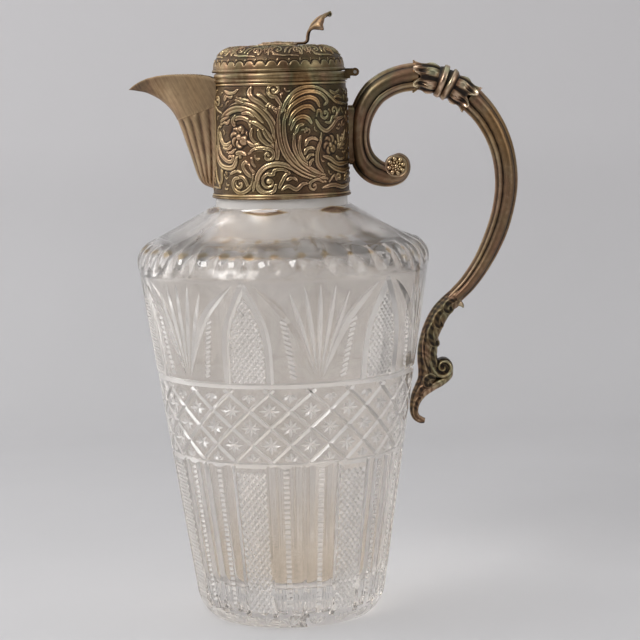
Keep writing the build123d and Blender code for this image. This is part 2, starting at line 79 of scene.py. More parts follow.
def smooth_path(points, per_span=8):
    """A smooth curve through given points."""
    known = [np.array(p, float) for p in points]
    known = [2 * known[0] - known[1], *known, 2 * known[-1] - known[-2]]
    path = []
    for a, b, c, d in zip(known, known[1:], known[2:], known[3:]):
        for step in range(per_span):
            t = step / per_span
            path.append(0.5 * (2 * b + (c - a) * t + (2 * a - 5 * b + 4 * c - d) * t**2
                               + (3 * b - a - 3 * c + d) * t**3))
    return path + [known[-2]]


def headings(path):
    """Which way a path of (x, z, ...) rows runs at each of its points."""
    ahead = np.gradient(path[:, :2], axis=0)
    return ahead / np.linalg.norm(ahead, axis=1)[:, None]


def bell(values, middle, width):
    """1 at the middle, falling away smoothly to either side."""
    return np.exp(-((values - middle) / width) ** 2)


def placed(name, data):
    """A new object in the scene that shows the given mesh, lamp or camera."""
    made = bpy.data.objects.new(name, data)
    bpy.context.collection.objects.link(made)
    return made


def mesh_object(name, points, faces, exposed=None):
    """A mesh whose faces are turned outwards.

    Relief comes with how exposed each point is; other meshes have their doubles merged.
    """
    mesh = bpy.data.meshes.new(name)
    mesh.from_pydata((np.asarray(points, float) * MM).tolist(), [], faces)
    if exposed is not None:
        field = mesh.attributes.new("exposed", "FLOAT", "POINT")
        field.data.foreach_set("value", np.asarray(exposed, np.float32))
    form = bmesh.new()
    form.from_mesh(mesh)
    if exposed is None:
        bmesh.ops.remove_doubles(form, verts=form.verts, dist=1e-7)
    bmesh.ops.recalc_face_normals(form, faces=form.faces)
    form.to_mesh(mesh)
    form.free()
    return placed(name, mesh)


def grid_faces(rows, columns, first=0, skip=None, ring=False):
    """Four-sided faces of a grid whose columns close on themselves, as its rows do in a ring."""
    faces = []
    for r in range(rows if ring else rows - 1):
        here, above = first + r * columns, first + (r + 1) % rows * columns
        faces += [(here + c, here + (c + 1) % columns, above + (c + 1) % columns, above + c)
                  for c in range(columns) if not (skip and skip(r, c))]
    return faces


def bar_faces(rows, columns):
    """Faces of a closed bar: the grid of its sections, and both ends."""
    last = (rows - 1) * columns
    ends = [tuple(range(columns)), tuple(last + c for c in reversed(range(columns)))]
    return grid_faces(rows, columns) + ends


def plain_mesh(source, name):
    """The evaluated shape of an object as a plain mesh object of its own."""
    made = placed(name, bpy.data.meshes.new_from_object(
        source.evaluated_get(bpy.context.evaluated_depsgraph_get())))
    bpy.data.objects.remove(source)
    made.data.name = name
    return made


def shade(piece, sharp_angle=28):
    """Smooth shading, with creases where faces meet at more than the angle."""
    piece.data.polygons.foreach_set("use_smooth", [True] * len(piece.data.polygons))
    piece.data.set_sharp_from_angle(angle=radians(sharp_angle))
    return piece


def wired(tree, kinds, links):
    """Add named nodes to a tree and join them: a link is (node, outlet, node, inlet)."""
    nodes = {name: tree.nodes.new(kind) for name, kind in kinds.items()}
    for start, outlet, end, inlet in links:
        tree.links.new(nodes[start].outputs[outlet], nodes[end].inputs[inlet])
    return nodes


# ---------------------------------------------------------------- repeats by Geometry Nodes
def repeat_round_tree():
    """A node tree that repeats a unit about the jug's axis."""
    tree = bpy.data.node_groups.new("repeat round the axis", "GeometryNodeTree")
    inlets = {"Unit": "Geometry", "Count": "Int", "First Turn": "Float", "Finish": "Material"}
    for name, kind in inlets.items():
        tree.interface.new_socket(name, in_out="INPUT", socket_type="NodeSocket" + kind)
    tree.interface.new_socket("Result", in_out="OUTPUT", socket_type="NodeSocketGeometry")
    nodes = wired(tree, {
        "given": "NodeGroupInput", "result": "NodeGroupOutput", "line": "GeometryNodeMeshLine",
        "index": "GeometryNodeInputIndex", "share": "ShaderNodeMath", "turn": "ShaderNodeMath",
        "spin": "ShaderNodeCombineXYZ", "copies": "GeometryNodeInstanceOnPoints",
        "real": "GeometryNodeRealizeInstances", "finish": "GeometryNodeSetMaterial",
    }, [
        ("given", "Count", "line", "Count"), ("index", 0, "share", 0),
        ("given", "Count", "share", 1), ("share", 0, "turn", 0),
        ("given", "First Turn", "turn", 2), ("turn", 0, "spin", "Z"),
        ("line", "Mesh", "copies", "Points"), ("given", "Unit", "copies", "Instance"),
        ("spin", 0, "copies", "Rotation"), ("copies", "Instances", "real", "Geometry"),
        ("real", "Geometry", "finish", "Geometry"), ("given", "Finish", "finish", "Material"),
        ("finish", "Geometry", "result", "Result")])
    nodes["line"].inputs["Offset"].default_value = (0, 0, 0)
    nodes["share"].operation = "DIVIDE"
    nodes["turn"].operation = "MULTIPLY_ADD"
    nodes["turn"].inputs[1].default_value = 2 * pi
    return tree


def repeat_round(unit, count, first_turn, finish=None):
    """Repeat an object about the axis; the bearing of the first copy is in degrees."""
    tree = bpy.data.node_groups.get("repeat round the axis") or repeat_round_tree()
    values = {"Count": count, "First Turn": radians(first_turn), "Finish": finish}
    nodes = unit.modifiers.new("repeat", "NODES")
    nodes.node_group = tree
    for socket in tree.interface.items_tree:
        if values.get(socket.name) is not None:
            nodes[socket.identifier] = values[socket.name]
    return plain_mesh(unit, unit.name)


# ---------------------------------------------------------------- finishes
class Value:
    """A shader value: sums written on it add Math nodes."""

    def __init__(self, finish, socket):
        self.finish = finish
        self.socket = socket

    def step(self, operation, *others, swapped=False):
        values = [self, *others][::-1 if swapped else 1]
        return self.finish.node("ShaderNodeMath", {"operation": operation},
                                **{str(k): value for k, value in enumerate(values)})

    def __add__(self, other):
        return self.step("ADD", other)

    def __mul__(self, other):
        return self.step("MULTIPLY", other)

    def __sub__(self, other):
        return self.step("SUBTRACT", other)

    def __rsub__(self, other):
        return self.step("SUBTRACT", other, swapped=True)

    def __truediv__(self, other):
        return self.step("DIVIDE", other)

    __radd__, __rmul__ = __add__, __mul__

    def clamped(self):
        return self.step("MINIMUM", 1.0).step("MAXIMUM", 0.0)


class Finish:
    """A procedural material with one surface shader; plain numbers are set on its own sockets."""

    def __init__(self, name, **constants):
        self.material = bpy.data.materials.new(name)
        self.material.use_nodes = True
        self.tree = self.material.node_tree
        self.shader = self.tree.nodes["Principled BSDF"]
        for socket, value in constants.items():
            self.shader.inputs[socket.replace("_", " ")].default_value = value

    def node(self, kind, settings=None, output=0, **values):
        """Add a node: its settings first, then the values or links of its sockets."""
        made = self.tree.nodes.new(kind)
        for name, value in (settings or {}).items():
            if name == "stops":
                ramp = made.color_ramp.elements
                while len(ramp) < len(value):
                    ramp.new(0.5)
                for element, (place, colour) in zip(ramp, value):
                    element.position = place
                    element.color = (*colour, 1.0)
            else:
                setattr(made, name, value)
        for key, value in values.items():
            socket = self.socket(made, key)
            if isinstance(value, Value):
                value = value.socket
            if isinstance(value, bpy.types.NodeSocket):
                self.tree.links.new(value, socket)
            else:
                socket.default_value = value
        return Value(self, self.outlet(made, output))

    @staticmethod
    def socket(made, key):
        if key.isdigit():
            return made.inputs[int(key)]
        return next(s for s in made.inputs if key in (s.identifier, s.name.replace(" ", "_")))

    @staticmethod
    def outlet(made, key):
        if isinstance(key, int):
            return made.outputs[key]
        return next(s for s in made.outputs if key in (s.identifier, s.name))

    def place(self):
        """Object coordinates."""
        return self.node("ShaderNodeTexCoord", output="Object")

    def along(self, axis):
        """How far a point lies along X, Y or Z, in metres."""
        return self.node("ShaderNodeSeparateXYZ", output=axis, Vector=self.place())

    def noise(self, scale, detail=3.0, roughness=0.55, stretch=None, **settings):
        """Noise from 0 to 1; the scale is in patches per metre."""
        vector = self.place()
        if stretch:
            vector = self.node("ShaderNodeMapping", Vector=vector, Scale=stretch)
        return self.node("ShaderNodeTexNoise", settings, output="Fac", Vector=vector, Scale=scale,
                         Detail=detail, Roughness=roughness)

    def attribute(self, name):
        return self.node("ShaderNodeAttribute", {"attribute_name": name}, output="Fac")

    def multiplied(self, first, second, share=1.0):
        """One colour darkened by another, wholly or in part."""
        return self.node("ShaderNodeMix", {"data_type": "RGBA", "blend_type": "MULTIPLY"},
                         output="Result_Color", Factor_Float=share, A_Color=first, B_Color=second)

    def ramp(self, share, stops):
        return self.node("ShaderNodeValToRGB", {"stops": stops}, output="Color", Fac=share)

    def feed(self, **links):
        for key, value in links.items():
            self.tree.links.new(value.socket, self.shader.inputs[key.replace("_", " ")])

    def bump(self, height, strength, distance):
        self.feed(Normal=self.node("ShaderNodeBump", output="Normal", Height=height,
                                   Strength=strength, Distance=distance))


white = (1.0, 1.0, 1.0)
# where the glass is painted with reflections of the silver collar: brown marks at the neck's root,
# glints at the flute tops
neck_reflection_turn, neck_reflection_height = -102.5, 0.1866
flute_glint_height = 0.1700
panel_count, flute_count = 6, 36


def glass_finish(name, clearness, roughness, low=(0.872, 0.838, 0.800),
                 high=(0.905, 0.873, 0.840), low_tint_colour=white):
    """Lead glass: clear on the skin, a little milky on the cuts, tinted a given colour low down.

    Painted reflections of the silver collar: brown marks at the neck, one above each shoulder
    hollow, and gold and dark glints along the shoulder's flutes.
    """
    glass = Finish(name, Transmission_Weight=clearness, IOR=1.53)
    smear = glass.noise(55.0, 4.0)
    body = glass.ramp(smear, [(0.3, low), (0.7, high)])
    height = glass.along("Z")
    # painted reflection: a brown lens mark at the neck's root above each shoulder hollow, standing
    # for the collar seen in the glass
    turn = glass.along("Y").step("ARCTAN2", glass.along("X")) - radians(neck_reflection_turn)
    lens = (turn * panel_count).step("COSINE") + 0.5
    painted_neck_reflection = lens * 1.1 - (height - neck_reflection_height).step("ABSOLUTE") * 1000
    # painted glints: gold and dark flecks at the tops of the shoulder's flutes, standing for the
    # silver collar reflected in them
    edge = (turn * flute_count).step("COSINE") * 1.6 + (glass.noise(260.0, 2.0) - 0.5) * 4.0
    painted_flute_glint = edge - (height - flute_glint_height).step("ABSOLUTE") * 1000
    painted_reflection_share = (painted_neck_reflection * 1.6).clamped() + (painted_flute_glint * 0.8).clamped() * 0.65
    # the painted reflections darken the glass to gold and then dark brown
    painted_reflection_colour = glass.ramp(painted_reflection_share.clamped(), [(0.0, white), (0.45, (0.72, 0.50, 0.22)),
                                        (1.0, (0.20, 0.10, 0.05))])
    # tinted towards the bottom: the given colour fades out between about 40 and 58 mm up, with a
    # ragged edge
    low_tint = glass.ramp((height * 1000 + glass.noise(60.0, 3.0) * 14) / 100,
                       [(0.40, low_tint_colour), (0.58, white)])
    glass.feed(Base_Color=glass.multiplied(glass.multiplied(body, painted_reflection_colour), low_tint),
               Roughness=(smear - 0.45).clamped() * 0.08 + roughness)
    return glass.material


def silver_finish(name, dark=(0.020, 0.014, 0.009), middle=(0.185, 0.125, 0.066),
                  bright=(0.84, 0.72, 0.48), chased=True, cover=0.5, drift=0.0, tinting=0.85,
                  brushed=0.0, veined=0.0):
    """Worn silver plate: tarnish in the hollows and in clouds on plain parts, bright crests."""
    silver = Finish(name)
    cloud = silver.noise(45.0, 5.0)
    fine = silver.noise(420.0, 3.0)
    if chased:
        bare = silver.attribute("exposed") + (cloud - 0.5) * 0.42 + (fine - 0.5) * 0.22
    else:
        bare = cover + (cloud - 0.5) * 0.85 + (fine - 0.5) * 0.25
    if brushed:
        streaks = silver.node("ShaderNodeMapping", Vector=silver.place(),
                              Rotation=(0, radians(-62), 0))
        streaks = silver.node("ShaderNodeMapping", Vector=streaks, Scale=(0.12, 1.0, 1.6))
        streaks = silver.node("ShaderNodeTexNoise", output="Fac", Vector=streaks, Scale=700.0,
                              Detail=3.0)
        bare = bare + (streaks - 0.5) * brushed
    if veined:
        veins = silver.node("ShaderNodeTexWave", {"bands_direction": "DIAGONAL"}, output="Fac",
                            Vector=silver.place(), Scale=170.0, Distortion=5.0, Detail=2.0,
                            Detail_Scale=1.2)
        bare = bare + (veins - 0.45) * veined
    bare = bare.clamped()
    metal = silver.ramp(bare, [(0.10, dark), (0.42, middle), (0.88, bright)])
    hue = silver.noise(30.0, 3.0, stretch=(1.0, 1.0, 0.7)) + silver.along("X") * drift
    tint = silver.ramp(hue, [(0.36, (1.0, 0.84, 0.60)), (0.45, (1.0, 0.95, 0.84)),
                             (0.53, (0.92, 0.72, 0.70)), (0.60, (0.66, 0.78, 0.68)),
                             (0.70, (1.0, 0.70, 0.48))])
    silver.feed(Base_Color=silver.multiplied(metal, tint, tinting),
                Metallic=(0.55 + bare * 0.7).clamped(),
                Roughness=(0.42 - bare * 0.22 + fine * 0.10).clamped())
    silver.bump(fine + silver.noise(1600.0, 2.0) * 0.5, 0.15, 0.0002)
    return silver.material


cut_glass = glass_finish("glass_polished", 1.0, 0.0)
facet_glass = glass_finish("glass_wheel_cut", 0.60, 0.06, (0.80, 0.77, 0.735), (0.87, 0.843, 0.815))
# the hazy inner wall is tinted beige towards the bottom
hazy_glass = glass_finish("glass_hazy_inside", 0.93, 0.17, low_tint_colour=(0.90, 0.84, 0.75))
ground_glass = glass_finish("glass_ground_neck", 0.40, 0.25, (0.86, 0.83, 0.79), (0.93, 0.90, 0.87))
silver_plain = silver_finish("silver_plain", chased=False, drift=2.4)
silver_worn = silver_finish("silver_hinge", (0.02, 0.015, 0.01), chased=False, cover=0.36,
                            drift=2.4)
silver_chased = silver_finish("silver_chased", (0.034, 0.023, 0.014), (0.22, 0.15, 0.080),
                              (0.70, 0.57, 0.36), drift=2.4)
cast_hollows = (0.022, 0.015, 0.010)
silver_cast = silver_finish("silver_cast", cast_hollows, (0.26, 0.180, 0.110), (0.95, 0.84, 0.62))
silver_leafy = silver_finish("silver_leafy", cast_hollows, (0.24, 0.165, 0.098),
                             (0.90, 0.77, 0.54), veined=0.20)
silver_flower = silver_finish("silver_flower", cast_hollows, (0.20, 0.135, 0.078),
                              (0.60, 0.48, 0.31))
silver_spout = silver_finish("silver_spout", (0.060, 0.038, 0.034), (0.31, 0.205, 0.120),
                             (0.74, 0.55, 0.34), tinting=0.3, brushed=0.5)


def plaster_finish():
    """Matt white plaster with a fine pitted skin."""
    plaster = Finish("plaster", Roughness=0.9)
    pits = plaster.noise(900.0, 4.0)
    plaster.feed(Base_Color=plaster.ramp(pits, [(0.3, (0.66, 0.63, 0.57)),
                                                (0.6, (0.80, 0.77, 0.70))]))
    plaster.bump(pits, 0.3, 0.0003)
    return plaster.material


def steel_finish():
    """Drawn steel wire, with fine lines along it and a little rust."""
    steel = Finish("pin_steel", Metallic=1.0)
    lines = steel.noise(2500.0, 2.0, stretch=(1.0, 0.04, 1.0))
    rust = steel.noise(500.0, 4.0)
    steel.feed(Base_Color=steel.ramp(rust, [(0.35, (0.30, 0.17, 0.09)), (0.6, (0.52, 0.50, 0.47))]),
               Roughness=0.28 + lines * 0.2)
    steel.bump(lines, 0.2, 0.0001)
    return steel.material


white_plaster = plaster_finish()
drawn_steel = steel_finish()


# ---------------------------------------------------------------- the glass blank
foot_curve = arc_points((foot_contact_radius, 0), (41.9, 5.4), foot_edge, 10)
shoulder_curve = [(min(r, widest_radius), z)
                  for r, z in arc_points(shoulder_edge, shoulder_bulge, shoulder_top, 10)]


def glass_blank():
    """The blown vessel before it is cut."""
    inner_shoulder = (53.0, 168.0)
    wall_top = (61.1, 158.0)
    wall_foot = (38.9, 24.0)
    outline = [(0.02, 0.0), (34.0, 0.0)]
    outline += foot_curve
    outline += [(foot_edge[0] + share * (shoulder_edge[0] - foot_edge[0]),
                 foot_edge[1] + share * (shoulder_edge[1] - foot_edge[1]))
                for share in (0.25, 0.5, 0.75)]
    outline += shoulder_curve
    outline += [neck_root, (neck_radius, neck_root[1]), (neck_radius, collar_bottom),
                (bedded_neck_radius, collar_bottom), (bedded_neck_radius, neck_glass_top),
                (bore_radius, neck_glass_top)]
    outline += arc_points((bore_radius, neck_root[1]), (31.0, 178.0), inner_shoulder, 12)
    outline += arc_points(inner_shoulder, (59.2, 164.4), wall_top, 8)[1:]
    outline += arc_points(wall_foot, (36.4, 19.8), (30.0, 18.0), 8)
    outline += [(15.0, 18.8), (0.02, 19.5)]
    segments, rows = 180, len(outline)
    turns = [2 * pi * k / segments for k in range(segments)]
    points = [(r * cos(t), r * sin(t), z) for t in turns for r, z in outline]
    faces = []
    for near in range(0, segments * rows, rows):
        far = (near + rows) % (segments * rows)
        faces += [(near + j, far + j, far + (j + 1) % rows, near + (j + 1) % rows)
                  for j in range(rows)]
    return mesh_object("glass_body_cut", points, faces)


# ---------------------------------------------------------------- wheel cutting
# A cut's place is (turn, height): degrees on from its unit's middle, and height up the jug.
# The numbers after a path are the cut's width and depth.
blank_side = foot_curve + shoulder_curve + [neck_root]
blank_radii, blank_heights = zip(*blank_side)
skin_clear, fine_clear = 0.35, 0.15
lens_run_out = 0.2
hollow_steps = (-1, -0.8, -0.5, -0.17, 0.17, 0.5, 0.8, 1)


def glass_radius(height):
    """How far the blank's skin is from the axis."""
    return float(np.interp(height, blank_heights, blank_radii))


def on_glass(turn, height, out=0.0):
    """A point on the blank's skin, or out from it."""
    lean = atan2(glass_radius(height + 0.4) - glass_radius(height - 0.4), 0.8)
    radius = glass_radius(height) + out * cos(lean)
    return np.array((radius * cos(radians(turn)), radius * sin(radians(turn)),
                     height - out * sin(lean)))


def groove(path, width, depth, lens=False, hollow=False, closed=False, clear=skin_clear):
    """One wheel cut: a mitre, or a round hollow. A lens cut runs out to nothing at both ends."""
    count = len(path)
    points = []
    for k, (turn, height) in enumerate(path):
        share = k / (count - 1)
        swell = 1 - (2 * share - 1) ** 2
        deep = (depth + lens_run_out) * swell - lens_run_out if lens else depth
        here = on_glass(turn, height)
        out = on_glass(turn, height, 1.0) - here
        before = path[k - 1] if closed or k else path[0]
        after = path[(k + 1) % count] if closed or k + 1 < count else path[-1]
        side = np.cross(out, on_glass(*after) - on_glass(*before))
        side /= np.linalg.norm(side)
        wide = width(height) if callable(width) else width
        if hollow:
            wide *= max(swell, 0.01) ** 0.5 if lens else 1.0
            section = [(wide / 2 * x, -deep * (1 - x * x)) for x in hollow_steps]
            section = [(wide * 0.51, clear)] + section[::-1] + [(-wide * 0.51, clear)]
        else:
            half = (deep + clear) * wide / 2 / depth
            section = [(0.0, -deep), (half, clear), (-half, clear)]
        points += [here + side * x + out * z for x, z in section]
    grid = (count, len(section))
    return points, grid_faces(*grid, ring=True) if closed else bar_faces(*grid)


def straight(start, end, count=None):
    """A path of even steps, close enough together to follow the round skin."""
    count = count or max(3, int(abs(end[0] - start[0]) / 5 + abs(end[1] - start[1]) / 25) + 2)
    return [(start[0] + (end[0] - start[0]) * k / (count - 1),
             start[1] + (end[1] - start[1]) * k / (count - 1)) for k in range(count)]


def mirrored(path):
    """The same path on the other side of its unit's middle."""
    return [(-turn, height) for turn, height in path]


def hatch(lean, half_width, low, high, turn_pitch, height_pitch):
    """Parallel slanting paths that fill a panel between its edges."""
    slant = lean * turn_pitch / height_pitch
    reach = max(half_width(z) for z in np.linspace(low, high, 30))
    first = -int((reach + abs(slant) * (high - low)) / turn_pitch) - 1
    paths = []
    for k in range(first, -first + 1):
        run = []
        for height in np.arange(low, high + 0.01, 0.6):
            turn = k * turn_pitch + slant * (height - low)
            if abs(turn) <= half_width(height):
                run.append((turn, float(height)))
        if len(run) > 2:
            paths.append(straight(run[0], run[-1]))
    return paths


# the cutters of each step; cuts in the polished steps are clear, the others a little milky
cuts = {}
polished_steps = (0, 1, 2, 3)


def cut(step, unit, count, first_turn):
    """Lay a unit's grooves, repeated round the glass, into one step of the cutting."""
    points, faces = [], []
    for more_points, more_faces in unit:
        faces += [tuple(index + len(points) for index in face) for face in more_faces]
        points += more_points
    cutter = mesh_object("cutter", points, faces)
    cuts.setdefault(step, []).append(repeat_round(cutter, count, first_turn, cut_glass))


def cut_both_sides(step, path, repeat, *shape, **kind):
    """The same groove on either side of a unit's middle, in two steps."""
    cut(step, [groove(path, *shape, **kind)], *repeat)
    cut(step + 1, [groove(mirrored(path), *shape, **kind)], *repeat)


def cut_crossed(step, half_width, low, high, pitches, repeat, *shape):
    """Two sets of fine slanting grooves that cross, in two steps."""
    for more, lean in enumerate((1, -1)):
        paths = hatch(lean, half_width, low, high, *pitches)
        cut(step + more, [groove(path, *shape, clear=fine_clear) for path in paths], *repeat)


def carve(blank):
    """Take every step's cutters away from the blank, one step after another."""
    for step in sorted(cuts):
        joined = bmesh.new()
        for cutter in cuts[step]:
            joined.from_mesh(cutter.data)
            bpy.data.objects.remove(cutter)
        mesh = bpy.data.meshes.new("cutters")
        mesh.materials.append(cut_glass if step in polished_steps else facet_glass)
        joined.to_mesh(mesh)
        joined.free()
        mesh.polygons.foreach_set("material_index", [0] * len(mesh.polygons))
        tool = placed("cutters", mesh)
        taken = blank.modifiers.new("cut", "BOOLEAN")
        taken.operation = "DIFFERENCE"
        taken.solver = "MANIFOLD"
        taken.object = tool
        blank = plain_mesh(blank, blank.name)
        blank.name = "glass_body_cut"
        bpy.data.objects.remove(tool)
    return blank


# six broad hollows on the shoulder, opposite ones in one step
panel_turn, panel_sag = -105.2, 2.2
panel_low, panel_high = (62.0, 171.8), (33.0, 186.6)


def shoulder_panel():
    """A block with a hollowed face, as long as a sixth of the round needs."""
    middle = ((panel_low[0] + panel_high[0]) / 2 - panel_sag * 0.47,
              (panel_low[1] + panel_high[1]) / 2 - panel_sag * 0.88)
    reach, ceiling, outside = 45.0, 192.0, 80.0
    side = arc_points(panel_low, middle, panel_high, 9)
    side += [(panel_high[0], ceiling), (outside, ceiling)]
    points = [(x, y, z) for y in (-reach, reach) for x, z in side]
    return points, bar_faces(2, len(side))


for pair in range(panel_count // 2):
    cut(pair, [shoulder_panel()], 2, panel_turn + 60 * pair)

# round-ended flutes along the shoulder's edge
shoulder_flute = straight((0, 160.4), (0, 176.5), 11)
cut(3, [groove(shoulder_flute, 10.6, 1.25, hollow=True, lens=True)], flute_count, -98.8)

# the arches: bordered and hatched, with an outer lens cut, a toothed line and a fan between
round_panels = (panel_count, panel_turn)
border = smooth_path([(9.4, 113.4), (9.2, 122), (8.9, 130), (7.2, 140), (3.2, 150), (-0.6, 158)], 4)
outer_arc = smooth_path([(3.0, 158.5), (9, 152.6), (16, 144.8), (21, 136), (25.5, 125),
                         (29.2, 114.0)], 5)
border_turns, border_heights = zip(*border)
fan_foot = (30.0, 115.5)
fan_tips = [(17.5, 156.5), (23.5, 159.5), (30, 160.5), (36.5, 159.5), (42.5, 156.5)]


def ray_width(height):
    """The fan's rays widen upwards."""
    return 1.0 + 2.4 * (height - fan_foot[1]) / 45.0


def arch_inside(height):
    """Half the turn of the arch's hatched panel, within its border."""
    return float(np.interp(height, border_heights, border_turns)) - 1.9


def tooth_turn(start, height):
    """The toothed line leans in towards the arch's head."""
    return start + (140 - height) * 0.15


cut_both_sides(4, outer_arc, round_panels, 4.2, 1.2, lens=True)
cut_both_sides(6, border, round_panels, 3.4, 1.2)
cut_crossed(8, arch_inside, 114.6, 156, (2.35, 3.0), round_panels, 1.5, 0.75)
for k, tip in enumerate(fan_tips):
    foot = (fan_foot[0] + (k - 2) * 0.5, fan_foot[1])
    cut(6 + k, [groove(straight(foot, tip, 9), ray_width, 0.95, lens=True)], *round_panels)
teeth = [straight((side * tooth_turn(14.4, z), z + 1.2), (side * tooth_turn(16.9, z), z), 3)
         for side in (-1, 1) for z in np.arange(116.5, 141, 2.2)]
cut(10, [groove(tooth, 1.7, 0.8, clear=fine_clear) for tooth in teeth], *round_panels)
# one long level lens at the neck's root above each arch
cut(11, [groove(straight((-20, 187.5), (20, 187.5), 13), 3.4, 1.4, lens=True)], *round_panels)

# the band of diamonds between two level mitres, a star on each diamond
round_band = (20, -105.8)
band_low, band_high = 76.9, 113.0
half_diamond, diamond_height = 9.0, 15.6
lattice_foot, lattice_head = 78.3, 109.5
past = 1.8
cut(12, [groove([(k * 3.0, height) for k in range(120)], 2.6, 1.3, closed=True)
         for height in (band_low, band_high)], 1, 0)
slope = 2 * half_diamond / diamond_height
rising = straight((-half_diamond - past * slope, lattice_foot - past),
                  (3 * half_diamond + past * slope, lattice_head + past), 15)
cut_both_sides(13, rising, round_band, 1.9, 1.1)
star_rays = [(5.4, 0.0), (0.0, 4.7), (3.3, 2.9), (-3.3, 2.9)]
for k, (across, up) in enumerate(star_rays):
    rays = [straight((middle - across, height - up), (middle + across, height + up), 5)
            for middle, height in ((0, 93.9), (half_diamond, 86.1), (half_diamond, 101.7))]
    if up:
        rays += [straight((0, height + way * 0.3), (way * across, height + way * up), 5)
                 for height, way in ((lattice_foot, 1), (lattice_head, -1))]
    cut(15 + k, [groove(ray, 2.1, 0.95, lens=True) for ray in rays], *round_band)

# seven groups of three columns: one hatched, two fluted with a notched ridge
column_count, group_turn = 21, -107.4
round_columns, round_groups = (column_count, group_turn), (column_count // 3, group_turn)
column = 360 / column_count
fluted_columns = (column, 2 * column)


def flute_width(height):
    """The columns' flutes narrow with the jug."""
    return radians(6.8) * glass_radius(height)


cut(4, [groove(straight((column / 2, band_low), (column / 2, 5.5), 13), 2.4, 1.2)], *round_columns)
flutes = [straight((middle + side * 4.85, band_low - 0.5), (middle + side * 4.85, 7.5), 10)
          for middle in fluted_columns for side in (-1, 1)]
cut(3, [groove(flute, flute_width, 0.75, hollow=True) for flute in flutes], *round_groups)
notches = [straight((middle - 1.4, z), (middle + 1.4, z), 3)
           for middle in fluted_columns for z in np.arange(12, 75.5, 2.3)]
cut(8, [groove(notch, 1.9, 0.7, clear=fine_clear) for notch in notches], *round_groups)
cut_crossed(13, lambda height: 7.2, 8.5, 73.8, (3.4, 3.4), round_groups, 1.7, 0.8)

# short fans round the foot, one under each column
foot_rays = [((-1.2, 1.2), (-5.6, 5.4)), ((-0.5, 1.0), (-2.2, 6.6)), ((0.5, 1.0), (2.2, 6.6)),
             ((1.2, 1.2), (5.6, 5.4))]
for k, (start, end) in enumerate(foot_rays):
    cut(15 + k, [groove(straight(start, end, 7), 1.7, 0.6, lens=True)], *round_columns)

inner_floor, bore_foot = 17.5, 184.0
bare_neck = (188.2, 192.2)
inside_by, bore_slack = 3.0, 0.5


def haze_inside(vessel):
    """Give the belly's inner wall the hazy glass, tinted low down; the bore and the bare neck below
    the collar are ground.
    """
    for finish in (ground_glass, hazy_glass):
        vessel.data.materials.append(finish)
    hazy = len(vessel.data.materials) - 1
    for face in vessel.data.polygons:
        x, y, z = face.center / MM
        away = hypot(x, y)
        inside = away < glass_radius(z) - inside_by or away < bore_radius + bore_slack
        if z > inner_floor and inside:
            face.material_index = hazy - 1 if z > bore_foot else hazy
        elif bare_neck[0] < z < bare_neck[1] and away > bore_radius:
            face.material_index = hazy - 1
    return vessel


blank = glass_blank()
blank.data.materials.append(cut_glass)
glass = shade(haze_inside(carve(blank)))
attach(glass, "root")
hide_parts("glass_body")
glass.visible_shadow = False


